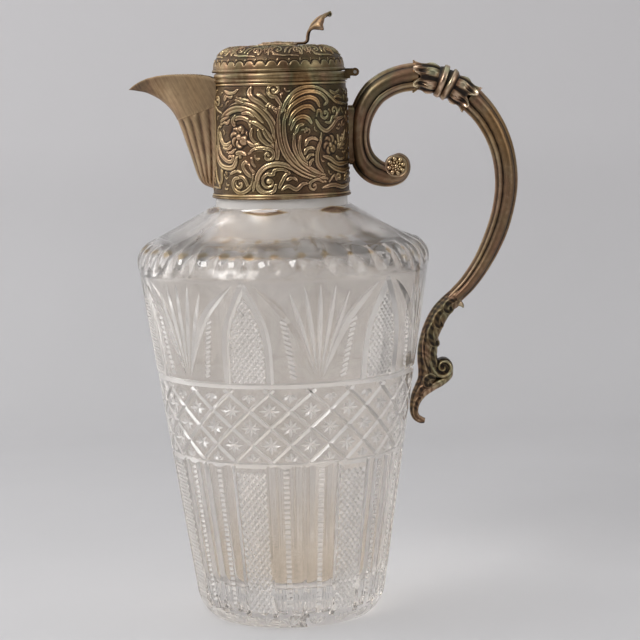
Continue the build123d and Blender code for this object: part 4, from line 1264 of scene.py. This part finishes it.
def handle_upper_scroll():
    """The reeded upper scroll, which winds round the volute's drum."""
    stations = [(50.6, 208.6, 1.6, 8.6), (54.2, 209.3, 2.0, 8.8), (57.0, 207.0, 2.6, 9.2),
                (57.2, 203.0, 3.6, 9.4), (54.6, 199.9, 5.6, 9.5), (50.6, 199.3, 8.4, 9.6),
                (46.2, 200.6, 11.0, 9.9), (41.6, 202.9, 11.8, 10.2), (37.9, 207.2, 11.4, 10.4),
                (36.2, 213.5, 9.8, 10.4), (36.2, 221.0, 9.4, 10.6), (37.8, 229.2, 11.0, 10.8),
                (42.2, 236.6, 11.8, 11.2), (47.6, 240.8, 12.1, handle_width),
                (53.8, 243.4, 12.3, handle_width), (60.0, 244.5, 12.6, handle_width),
                (63.0, 244.4, 12.0, handle_width)]
    half = [(radius, rise - volute_face, bare) for radius, rise, bare in
            ((4.6, 0.8, 0.2), (5.0, 0.3, 0.5), (4.4, 0.0, 0.6), (3.6, 0.5, 0.1), (0.3, 0.5, 0.1))]
    outline = half + [(radius, -rise, bare) for radius, rise, bare in reversed(half)]
    return joined("handle_upper_scroll_cast", swept(stations, reeded),
                  cross_drum(volute_centre, outline, 48))


def leaf_sheath(name, stations, lobes=6):
    """Leaves wrapped round the handle, with outward curls where the stations start."""
    path = np.array(smooth_path(stations, 24))
    ahead = headings(path)
    around = 120
    turns = np.arange(around) * 2 * pi / around
    lobe = 0.5 + 0.5 * np.cos(lobes * turns)
    share = np.linspace(0, 1, 46)[:, None]
    side = np.abs(np.sin(lobes * turns / 2))
    edge = 0.30 * side**2.6
    along = (edge + (1 - edge) * share) * (len(path) - 1)
    curl = bell(share, 0, 0.11) * (0.35 + 0.65 * lobe)
    hollow = bell(share, 0.34, 0.16) * lobe**1.2
    rim = bell(side - 0.40 * share, 0.45, 0.13) * bell(share, 0.30, 0.36)
    cleft = bell(side, 1.0, 0.10)
    vein = bell(side, 0, 0.10) * bell(share, 0.5, 0.4)
    crown = bell(share, 0.66, 0.16) * lobe
    scale = (0.90 + 0.19 * curl - 0.13 * hollow + 0.07 * rim - 0.10 * cleft + 0.05 * vein
             + 0.05 * crown)
    exposed = np.clip(0.30 + 0.70 * curl - 0.45 * hollow + 0.50 * rim - 0.40 * cleft + 0.25 * vein
                      + 0.50 * crown, 0, 1)
    # a first row tucked in under the curled tips
    scale = np.concatenate([np.full((1, around), 0.70), scale])
    exposed = np.concatenate([np.full((1, around), 0.05), exposed])
    along = np.concatenate([along[:1] + 1.0, along])
    x, z, thick, wide, ax, az = (np.interp(along, np.arange(len(path)), values)
                                 for values in (*path.T, *ahead.T))
    lift = 0.5 * np.cos(turns) * thick * scale
    points = np.stack([x - az * lift, 0.5 * np.sin(turns) * wide * scale, z + ax * lift], -1)
    return joined(name, (points, exposed))


def handle_band():
    """The double ring between the two sheaths."""
    stations = [(71.6, 243.0, 11.6, 11.0), (72.4, 242.8, 13.0, 12.6), (73.1, 242.5, 14.9, 14.2),
                (74.0, 242.2, 15.6, 14.8), (74.9, 241.8, 14.9, 14.2), (75.4, 241.6, 12.8, 12.2),
                (75.9, 241.4, 12.8, 12.2), (76.4, 241.1, 14.6, 13.9), (77.2, 240.7, 15.4, 14.6),
                (78.0, 240.3, 14.6, 13.9), (78.7, 239.9, 13.0, 12.6), (79.4, 239.5, 11.6, 11.0)]
    points, bare = swept(stations, round_section(72), 6)
    girth = np.array(smooth_path(stations, 6))[:, 2:3]
    return joined("handle_band_cast", (points, bare * 0 + np.clip((girth - 12.4) / 4.2, 0, 0.75)))


def handle_lower_bow():
    """The reeded lower bow, thinner towards the foot."""
    stations = [(86.2, 234.6, 11.4, 11.2), (88.6, 232.3, 11.8, handle_width),
                (93.6, 226.4, 11.4, 11.2), (98.4, 217.8, 11.0, 10.8), (101.6, 207.5, 10.6, 10.4),
                (102.59, 196.0, 10.4, 10.0), (101.1, 184.5, 9.9, 9.6), (97.4, 172.5, 9.6, 9.2),
                (91.6, 160.5, 8.6, 8.8), (84.8, 150.6, 7.9, 8.4), (78.3, 144.0, 7.3, 8.0),
                (74.8, 140.6, 6.6, 7.0)]
    return joined("handle_lower_bow_cast", swept(stations, reeded))


def spiral_stations(centre, reach, first, turns, hand, thick, wide, count=22):
    """Stations that wind in to a centre."""
    stations = []
    for k in range(count + 1):
        share = k / count
        angle = radians(first) + hand * 2 * pi * turns * share
        away = reach * (1 - share) ** 0.9 + 0.25
        stations.append((centre[0] + away * cos(angle), centre[1] + away * sin(angle),
                         thick * (1 - 0.55 * share), wide * (1 - 0.12 * share)))
    return stations


def shaped_section(count, first, shape):
    """A section of a bar; the shape tells its half width and how exposed it is at each turn."""
    turns = [first + 2 * pi * k / count for k in range(count)]
    return [(0.5 * cos(turn), *shape(turn)) for turn in turns]


def ribbed(turn):
    """Two grooves along each flank of the stem: half width and exposure at a turn."""
    bearing = abs(degrees(turn))
    wide = 0.5 * sin(turn) * (1 - 0.16 * bell(bearing, 128, 9) - 0.10 * bell(bearing, 152, 7))
    return wide, 0.42 - 0.36 * bell(bearing, 128, 11) - 0.3 * bell(bearing, 152, 8)


def hollowed(turn):
    """A leaf's dark hollow between two bright edges: half width and exposure at a turn."""
    broad = abs(sin(turn))
    return 0.5 * sin(turn) * (1 - 0.45 * bell(broad, 1, 0.16)), 0.12 + 0.5 * bell(broad, 0.62, 0.22)


# the acanthus foot: x, z, thickness, width of its bars, and x, z, half width of its leaves
foot_stem = [(80.4, 146.0, 6.2, 7.0), (78.3, 144.0, 7.3, 7.7), (75.2, 140.9, 8.0, 8.1),
             (72.0, 137.4, 8.4, 8.4), (69.6, 133.6, 8.6, 8.6), (67.4, 129.0, 8.5, 8.6),
             (65.8, 124.4, 8.2, 8.5), (65.0, 119.8, 8.6, 8.6), (65.2, 115.0, 9.4, 8.6),
             (65.6, 110.0, 9.6, 8.3), (64.6, 105.4, 8.6, 7.7), (62.4, 101.6, 7.4, 7.0),
             (60.2, 98.0, 6.0, 6.4), (58.9, 94.4, 4.6, 5.6), (58.6, 91.0, 3.8, 4.8),
             (59.6, 88.4, 3.5, 4.4), (61.6, 87.0, 3.3, 3.9), (63.4, 86.6, 2.4, 3.0)]
spiral_centre = (72.4, 111.6)
spiral_lead = [(69.0, 121.4, 1.8, 7.6), (68.6, 118.2, 2.2, 8.2), (67.4, 115.0, 2.5, 8.6),
               (67.2, 111.8, 2.7, 8.8), (68.6, 108.9, 2.7, 8.8)]
foot_web = [(76.4, 110.4, 1.2, 5.0), (75.2, 107.4, 2.8, 6.2), (71.6, 104.9, 4.2, 6.6),
            (66.8, 102.6, 4.8, 6.6), (62.6, 99.4, 4.2, 6.2), (60.4, 96.4, 3.4, 5.6)]
foot_spur = [(73.4, 137.4, 3.0, 4.0), (76.6, 139.6, 4.2, 3.8), (79.6, 140.9, 3.4, 3.0),
             (81.4, 140.0, 2.0, 2.2), (82.1, 138.7, 0.6, 1.0)]
cheek_leaves = [[(79.0, 143.0, 1.0), (76.8, 142.4, 1.5), (74.6, 141.0, 1.7), (73.6, 138.9, 1.6),
                 (74.8, 137.6, 1.4), (76.2, 138.3, 1.2), (75.8, 139.6, 0.9)],
                [(73.4, 138.6, 1.0), (70.8, 136.6, 1.6), (69.4, 133.6, 1.9), (70.2, 131.0, 1.6),
                 (71.6, 131.2, 1.2), (71.4, 132.6, 0.9)], [(69.2, 133.8, 0.9), (67.4, 130.4, 1.5),
                                                           (66.6, 126.6, 1.9), (67.6, 123.2, 1.8),
                                                           (69.4, 122.6, 1.3), (69.6, 124.2, 1.0)],
                [(64.6, 127.6, 0.9), (63.9, 122.6, 1.3), (64.2, 117.0, 1.5), (65.4, 112.0, 1.6),
                 (66.2, 108.0, 1.4)], [(68.2, 122.6, 0.9), (67.2, 118.4, 1.4), (67.8, 114.8, 1.6),
                                       (68.2, 112.0, 1.2)], [(68.6, 107.0, 1.1), (66.4, 107.6, 1.7),
                                                             (64.4, 106.4, 1.8), (64.2, 104.2, 1.5),
                                                             (65.6, 103.4, 1.2),
                                                             (66.4, 104.4, 0.9)],
                [(66.0, 102.6, 0.9), (63.6, 102.8, 1.4), (61.6, 101.2, 1.5), (61.4, 99.4, 1.2),
                 (62.6, 98.8, 0.9)], [(62.4, 99.0, 0.8), (60.2, 96.4, 1.2), (59.2, 93.0, 1.3),
                                      (59.2, 90.0, 1.1), (60.6, 87.9, 0.9)]]
cheek_faces = [(58.0, 2.6), (61.0, 3.0), (64.0, 3.5), (66.0, 3.9), (72.0, 3.9), (76.0, 3.8),
               (80.0, 3.4)]


def handle_foot_scroll():
    """The acanthus foot: a stem with curling leaves, a spiral at its back and a hooked tail."""
    rolled = round_section(20, 0.66, 0.2)
    bars = [swept(foot_stem, shaped_section(56, -pi, ribbed), 8),
            swept(spiral_stations(spiral_centre, 4.3, 205, 1.5, 1, 2.7, 8.8), rolled, 3),
            swept(spiral_lead, rolled, 6),
            swept(foot_web, round_section(40, 0.6, 0.4), 6),
            swept(foot_spur, round_section(16), 6),
            cross_drum(spiral_centre, [(4.2, -2.9, 0.1), (4.2, 2.9, 0.1)], 32)]
    # curling leaves laid on both cheeks, each with its turned tip; their edges stand up bright
    hollow_leaf = shaped_section(24, 0, hollowed)
    for leaf in cheek_leaves:
        for side in (-1, 1):
            middle = np.interp(np.mean([x for x, z, r in leaf]), *zip(*cheek_faces))
            stations = [(x, z, 2.1 * r, 1.5 * r) for x, z, r in leaf]
            bars.append(swept(stations, hollow_leaf, 5, side * (middle - 0.1)))
    return joined("handle_foot_scroll_cast", *bars)


def rosette(name, side):
    """Petals in two rings about a domed eye, on one face of the volute."""
    outer = repeat_round(joined("petal", pebble((3.25, 0, 0), (1.45, 1.12, 1.25))), 8, 12)
    inner = repeat_round(joined("petal", pebble((1.75, 0, 0.5), (0.95, 0.62, 1.1), 10, 4)), 8, 34)
    eye = joined("eye", pebble((0, 0, 0.6), (1.1, 1.1, 1.0)))
    flower = gathered(name, outer, inner, eye)
    seat = Vector((volute_centre[0], side * (volute_face - 0.6), volute_centre[1])) * MM
    flower.data.transform(Matrix.Translation(seat) @ Matrix.Rotation(-side * pi / 2, 4, "X"))
    return flower


# ---------------------------------------------------------------- spout
spout_stations = [(-68.3, 1.8, 241.6), (-64.5, 3.2, 241.0), (-58.9, 4.7, 239.5),
                  (-52.0, 6.4, 235.0), (-46.6, 7.9, 227.4), (-41.5, 9.4, 212.6),
                  (-37.0, 10.7, 199.6), (-31.5, 12.0, 195.8), (-27.0, 12.6, 193.9)]
spout_ceiling = 252.0
seam_low, seam_high = (-46.6, 227.4), (-30.0, 233.0)
seam_slope = (seam_high[1] - seam_low[1]) / (seam_high[0] - seam_low[0])
reed_count = 4.25


rim_run, rim_heights = zip((-68.3, 241.6), (-66.0, 243.5), (-63.0, 245.2), (-59.5, 246.6),
                           (-55.0, 247.6), (-50.0, 248.1), (-45.0, 248.2), (-40.5, 248.15),
                           (-36.0, 247.9), (-31.5, 247.0), (-27.0, 245.2))
spout_wall, solder_radius = 0.95, 30.7


def spout_rim_height(x):
    """How high the spout's rim stands at a place along X."""
    return np.interp(x, rim_run, rim_heights)


def spout_skin():
    """Rows of points on the beak, from its tip to the collar: each is a U that ends at the rim.

    Given back with the keel's heights and the places along X where it has them.
    """
    path = np.array(smooth_path(spout_stations, 20))
    t = np.linspace(0, 1, 400)
    drop = 2.25 * (1 - t) ** 2 * t + 3 * (1 - t) * t**2 + t**3
    spread = (1 - t) ** 3 + 3 * (1 - t) ** 2 * t + 2.25 * (1 - t) * t**2
    half = 56
    rows = []
    for x, half_width, keel in path:
        depth = spout_ceiling - keel
        rim_height = min(max(spout_rim_height(x), keel + 0.15), spout_ceiling - 0.1)
        start = np.interp((spout_ceiling - rim_height) / depth, drop, t)
        shares = np.linspace(start, 1, half + 1)
        y = half_width * np.interp(shares, t, spread)
        z = spout_ceiling - depth * np.interp(shares, t, drop)
        rows.append(np.stack([np.full(half + 1, x), y, z], -1))
    one_side = np.array(rows)
    skin = np.concatenate([one_side, one_side[:, -2::-1] * (1, -1, 1)], 1)
    # stop the shell where it meets the collar
    far = -np.sqrt(np.clip(solder_radius**2 - skin[..., 1] ** 2, 1, None))
    for c in range(skin.shape[1]):
        line = skin[:, c]
        last = min(int(np.searchsorted(line[:, 0], far[-1, c])), len(line) - 1)
        along = np.linspace(0, 1, len(line))
        end = np.interp(far[last, c], line[:, 0], along)
        skin[:, c] = np.stack([np.interp(along * end, along, line[:, k]) for k in range(3)], -1)
    return skin, path[:, 2], path[:, 0]


def spout_shell(plain):
    """The whole beak as one shell, plain or reeded; each is then kept on its side of the seam."""
    skin, keels, stations = spout_skin()
    normal = np.cross(np.gradient(skin, axis=0), np.gradient(skin, axis=1))
    normal /= np.linalg.norm(normal, axis=2)[..., None] + 1e-12
    inside = np.array((-40.0, 0, 236.0))
    normal *= np.sign((normal * (skin - inside)).sum(2).mean())
    x, y, z = (skin[..., k] for k in range(3))
    below = seam_low[1] + (x - seam_low[0]) * seam_slope - z
    rim_below = spout_rim_height(x) - z
    if plain:
        rim = bell(rim_below, 0, 0.55)
        height = -0.10 + 0.10 * rim + 0.06 * bell(below, 0, 0.5)
        dull_tip = 0.34 * np.clip((-50 - x) / 13, 0, 1)
        exposed = 0.56 + 0.4 * rim - dull_tip + 0.25 * bell(below, 0, 0.3)
    else:
        keel_at = np.interp(z, keels[::-1], stations[::-1])
        collar_at = -np.sqrt(np.clip(collar_radius**2 - y**2, 1, None))
        back = np.clip((x - keel_at) / (collar_at - keel_at + 1e-6), 0, 1)
        fade = np.clip(below / 2.2, 0, 1) ** 0.5 * np.clip((z - 196.0) / 5, 0, 1)
        reed = np.abs(np.sin(pi * reed_count * back + 0.35 * pi)) ** 0.6
        height = -0.45 + 0.85 * (reed - 0.5) * fade + 0.15 * bell(below, 1.1, 0.45) * (1 - fade)
        exposed = 0.14 + 0.55 * reed * fade + 0.35 * (1 - fade)
    outer = skin + normal * height[..., None]
    inner = skin - normal * spout_wall
    inner[..., 2] = np.minimum(inner[..., 2], spout_rim_height(inner[..., 0]))
    ring = np.concatenate([outer, inner[:, ::-1]], 1)
    bare = np.concatenate([np.clip(exposed, 0, 1), np.full(inner.shape[:2], 0.35)], 1)
    return joined("spout_shell", (ring, bare))


def spout_part(name, plain):
    """The plain part of the spout above its seam, or the reeded part below, with the cut closed."""
    shell = spout_shell(plain)
    form = bmesh.new()
    form.from_mesh(shell.data)
    bmesh.ops.bisect_plane(form, geom=form.verts[:] + form.edges[:] + form.faces[:], dist=1e-8,
                           plane_co=Vector((seam_low[0], 0, seam_low[1])) * MM,
                           plane_no=Vector((-seam_slope, 0, 1)).normalized(),
                           clear_inner=plain, clear_outer=not plain)
    bmesh.ops.edgeloop_fill(form, edges=[edge for edge in form.edges if edge.is_boundary])
    bmesh.ops.recalc_face_normals(form, faces=form.faces)
    mesh = bpy.data.meshes.new(name)
    form.to_mesh(mesh)
    form.free()
    bpy.data.objects.remove(shell)
    return placed(name, mesh)


# ---------------------------------------------------------------- lid fittings
plate_bottom = 260.0


def on_plate(*outline):
    """An outline whose heights are told from the plate's underside."""
    return [(radius, plate_bottom + height, exposed) for radius, height, exposed in outline]


def lid_boss():
    """A scalloped boss with a ring of beads about a domed middle."""
    def scalloped(radius, height, turns):
        lobes = np.abs(np.cos(8 * turns)) ** 0.7
        outside = np.clip(radius / 7.0 - 0.55, 0, 0.45) / 0.45
        return radius * (1 + 0.075 * (lobes - 1) * outside), height - 0.12 * (1 - lobes) * outside

    outline = on_plate((6.9, 0.9, 0.1), (7.5, 1.1, 0.5), (7.5, 1.35, 0.9), (7.0, 1.6, 0.95),
                       (6.2, 1.45, 0.35), (5.6, 1.25, 0.05), (4.9, 1.25, 0.05), (4.4, 1.6, 0.7),
                       (3.9, 1.65, 0.8), (3.3, 1.35, 0.15), (2.6, 1.4, 0.3), (1.8, 1.85, 0.8),
                       (0.9, 2.0, 1.0), (0.15, 2.0, 1.0))
    body = joined("boss", turned(outline, 128, scalloped))
    bead = joined("bead", pebble((5.25, 0, plate_bottom + 1.2), (0.5, 0.5, 0.5), 8, 3))
    return gathered("lid_boss_chased", body, repeat_round(bead, 24, 0))


def thumbpiece():
    """A round plate with a tongue that rises into a drooping leaf."""
    plate = turned(on_plate((0.2, 0.02, 0.4), (9.0, 0.02, 0.4), (9.2, 0.25, 0.8), (9.2, 0.6, 0.9),
                            (8.8, 0.95, 0.8), (8.2, 0.8, 0.3), (7.6, 0.95, 0.6), (0.2, 1.0, 0.5)),
                   96)
    # x, z, thickness, half width, how far the sides droop
    spine = [(6.0, 260.7, 1.2, 2.6, 0.0), (9.5, 260.8, 1.2, 2.6, 0.0), (12.0, 260.9, 1.3, 2.4, 0.0),
             (13.3, 261.9, 1.6, 2.0, 0.0), (13.6, 263.8, 1.7, 1.6, 0.0),
             (14.0, 265.6, 1.6, 1.7, 0.2), (14.8, 267.4, 1.2, 2.7, 1.2),
             (15.9, 269.0, 1.1, 4.6, 3.6), (17.2, 270.4, 1.1, 5.6, 5.2),
             (18.5, 271.5, 1.1, 4.6, 3.6), (19.6, 272.2, 1.1, 4.5, 2.6),
             (20.8, 272.9, 1.1, 3.2, 1.2), (21.9, 273.4, 1.3, 3.1, 0.9),
             (23.0, 273.8, 1.5, 2.3, 0.5), (24.0, 274.2, 1.5, 1.3, 0.2),
             (24.5, 274.2, 0.8, 0.6, 0.0)]
    path = np.array(smooth_path(spine, 7))
    across = np.linspace(-1, 1, 25)
    thin = np.sqrt(np.clip(1 - across**4, 0.02, 1)) / 2
    vein = bell(across, 0, 0.12)
    folds = np.cos(across * 3.5 * pi)
    broad = np.clip((path[:, 3:4] - 2.2) / 2.5, 0, 1)
    bend = -path[:, 4:5] * across**2 + broad * (0.22 * folds + 0.20 * vein)
    face = bend + thin * path[:, 2:3]
    back = bend - thin * path[:, 2:3]
    points = off_path(path, np.concatenate([face, back[:, ::-1]], 1),
                      np.concatenate([across, across[::-1]]) * path[:, 3:4])
    front = 0.55 + broad * (0.25 * folds + 0.2 * vein) - 0.25 * across**2
    exposed = np.clip(np.concatenate([front, np.full(front.shape, 0.12)], 1), 0, 1)
    curl = spiral_stations((23.4, 273.4), 0.9, 60, 0.8, -1, 0.9, 3.6, 10)
    return joined("thumbpiece_leaf", plate, (points, exposed), swept(curl, round_section(12), 3))


# ---------------------------------------------------------------- finishes and bodies
def dressed(piece, finish, body, node, sharp=60):
    """Finish a piece and tie it to its body and to the node that it stands for."""
    piece.data.materials.clear()
    piece.data.materials.append(finish)
    shade(piece, sharp)
    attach(piece, body)
    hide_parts(node)


special = {"neck_plaster": white_plaster, "hinge_pin": drawn_steel,
           "hinge_leaf_collar": silver_worn, "hinge_leaf_lid": silver_worn}
for name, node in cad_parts.items():
    node.data.materials.clear()
    node.data.materials.append(special.get(name, silver_plain))

front_sheath = [(60.6, 244.8, 13.6, 12.8), (63.4, 244.7, 13.6, 12.8), (66.6, 244.2, 14.4, 13.6),
                (70.0, 243.4, 14.2, 13.4), (72.6, 242.7, 12.8, 12.2)]
rear_sheath = [(87.6, 233.3, 13.0, 12.4), (85.4, 235.2, 13.4, 12.8), (83.2, 236.9, 14.2, 13.4),
               (80.8, 238.6, 14.0, 13.2), (78.6, 240.0, 12.6, 12.2)]
relief_crease, small_crease = 75, 40
dressed(collar_sleeve(), silver_chased, "root", "collar_sleeve", relief_crease)
dressed(lid_dome(), silver_chased, "lid", "lid_dome", relief_crease)
dressed(lid_boss(), silver_chased, "lid", "lid_boss", small_crease)
dressed(thumbpiece(), silver_chased, "lid", "thumbpiece", small_crease)
dressed(spout_part("spout_lip_plain", True), silver_spout, "root", "spout_lip")
dressed(spout_part("spout_flutes_reeded", False), silver_spout, "root",
        "spout_flutes")
dressed(handle_upper_scroll(), silver_cast, "root", "handle_upper_scroll")
dressed(leaf_sheath("handle_leaf_sheath_front_cast", front_sheath), silver_cast, "root",
        "handle_leaf_sheath_front")
dressed(handle_band(), silver_cast, "root", "handle_band")
dressed(leaf_sheath("handle_leaf_sheath_rear_cast", rear_sheath), silver_cast, "root",
        "handle_leaf_sheath_rear")
dressed(handle_lower_bow(), silver_cast, "root", "handle_lower_bow")
dressed(handle_foot_scroll(), silver_leafy, "root", "handle_foot_scroll")
dressed(rosette("rosette_near_cast", -1), silver_flower, "root",
        "rosette_near", small_crease)
dressed(rosette("rosette_far_cast", 1), silver_flower, "root",
        "rosette_far", small_crease)


# ---------------------------------------------------------------- stage, light and camera
def photo_camera():
    """The photograph's view: slightly from above and tipped a little."""
    distance, down, roll = 950.0, radians(6.8), radians(1.35)
    target = Vector((16.1, 0.0, 134.5))
    look = Vector((0, cos(down), -sin(down)))
    level = Vector((1, 0, 0))
    upright = Vector((0, sin(down), cos(down)))
    right = level * cos(roll) - upright * sin(roll)
    up = upright * cos(roll) + level * sin(roll)
    lens = bpy.data.cameras.new("camera")
    lens.lens = 116.2
    lens.sensor_width = 36.0
    camera = placed("camera", lens)
    camera.matrix_world = (Matrix.Translation((target - look * distance) * MM)
                           @ Matrix((right, up, -look)).transposed().to_4x4())
    bpy.context.scene.camera = camera


def stage_sheet():
    """A pale paper floor that sweeps up into a wall, clear from behind so that it hides no view."""
    wall_y, bend, half_width, wall_height, front = 620.0, 160.0, 1500.0, 1500.0, -1500.0
    side = [(front, 0.0), (wall_y - bend, 0.0)]
    side += [(wall_y - bend + bend * sin(t), bend - bend * cos(t))
             for t in np.linspace(0.1, pi / 2, 14)]
    side += [(wall_y, wall_height)]
    points = [(x, y, z) for y, z in side for x in (-half_width, half_width)]
    faces = [(2 * k, 2 * k + 2, 2 * k + 3, 2 * k + 1) for k in range(len(side) - 1)]
    sheet = shade(mesh_object("paper_sweep", points, faces), 60)
    paper = Finish("paper", Roughness=0.9)
    # painted shade: the floor is coloured darker than the wall, lightening up the bend; a little
    # random grain lies over both
    grain_and_floor_shade = paper.noise(9.0, 3.0) * 0.2 + (paper.along("Z") * 4.0).clamped()
    paper.feed(Base_Color=paper.ramp(grain_and_floor_shade, [(0.05, (0.595, 0.590, 0.595)),
                                            (11 / 12, (0.755, 0.745, 0.755))]),
               Alpha=paper.node("ShaderNodeNewGeometry", output="Backfacing"))
    sheet.data.materials.append(paper.material)


def lamp(name, place, aim_height, size, power):
    """A square soft box, aimed at a height on the jug's axis."""
    light = bpy.data.lights.new(name, "AREA")
    light.size = size * MM
    light.energy = power
    place, aim = Vector(place), Vector((0, 0, aim_height))
    turn = (aim - place).to_track_quat("-Z", "Y").to_matrix().to_4x4()
    placed(name, light).matrix_world = Matrix.Translation(place * MM) @ turn


def room_light():
    """A soft room: bright above and to the left, dark behind the camera."""
    world = bpy.data.worlds.new("room")
    bpy.context.scene.world = world
    world.use_nodes = True
    nodes = wired(world.node_tree, {
        "way": "ShaderNodeTexCoord", "split": "ShaderNodeSeparateXYZ",
        "height": "ShaderNodeValToRGB", "depth": "ShaderNodeMapRange",
        "side": "ShaderNodeMapRange", "both": "ShaderNodeMath",
    }, [
        ("way", "Generated", "split", 0), ("split", "Z", "height", "Fac"),
        ("split", "Y", "depth", "Value"), ("split", "X", "side", "Value"),
        ("depth", "Result", "both", 0), ("side", "Result", "both", 1)])
    for element, place, colour in zip(nodes["height"].color_ramp.elements, (0.0, 0.75),
                                      ((0.42, 0.40, 0.39, 1), (0.98, 0.98, 1.00, 1))):
        element.position, element.color = place, colour
    ranges = {"depth": (-0.9, -0.1, 0.22, 1.0), "side": (0.8, -0.8, 0.45, 1.35)}
    for name, values in ranges.items():
        for socket, value in zip(("From Min", "From Max", "To Min", "To Max"), values):
            nodes[name].inputs[socket].default_value = value
    nodes["both"].operation = "MULTIPLY"
    background = world.node_tree.nodes["Background"]
    world.node_tree.links.new(nodes["height"].outputs["Color"], background.inputs["Color"])
    world.node_tree.links.new(nodes["both"].outputs[0], background.inputs["Strength"])


photo_camera()
stage_sheet()
room_light()
lamp("key", (-650, -750, 950), 150, 480, 7.0)
lamp("fill", (900, -500, 500), 130, 500, 1.6)
lamp("window", (-1000, 350, 500), 150, 600, 2.2)
bpy.context.scene.view_settings.view_transform = "Standard"
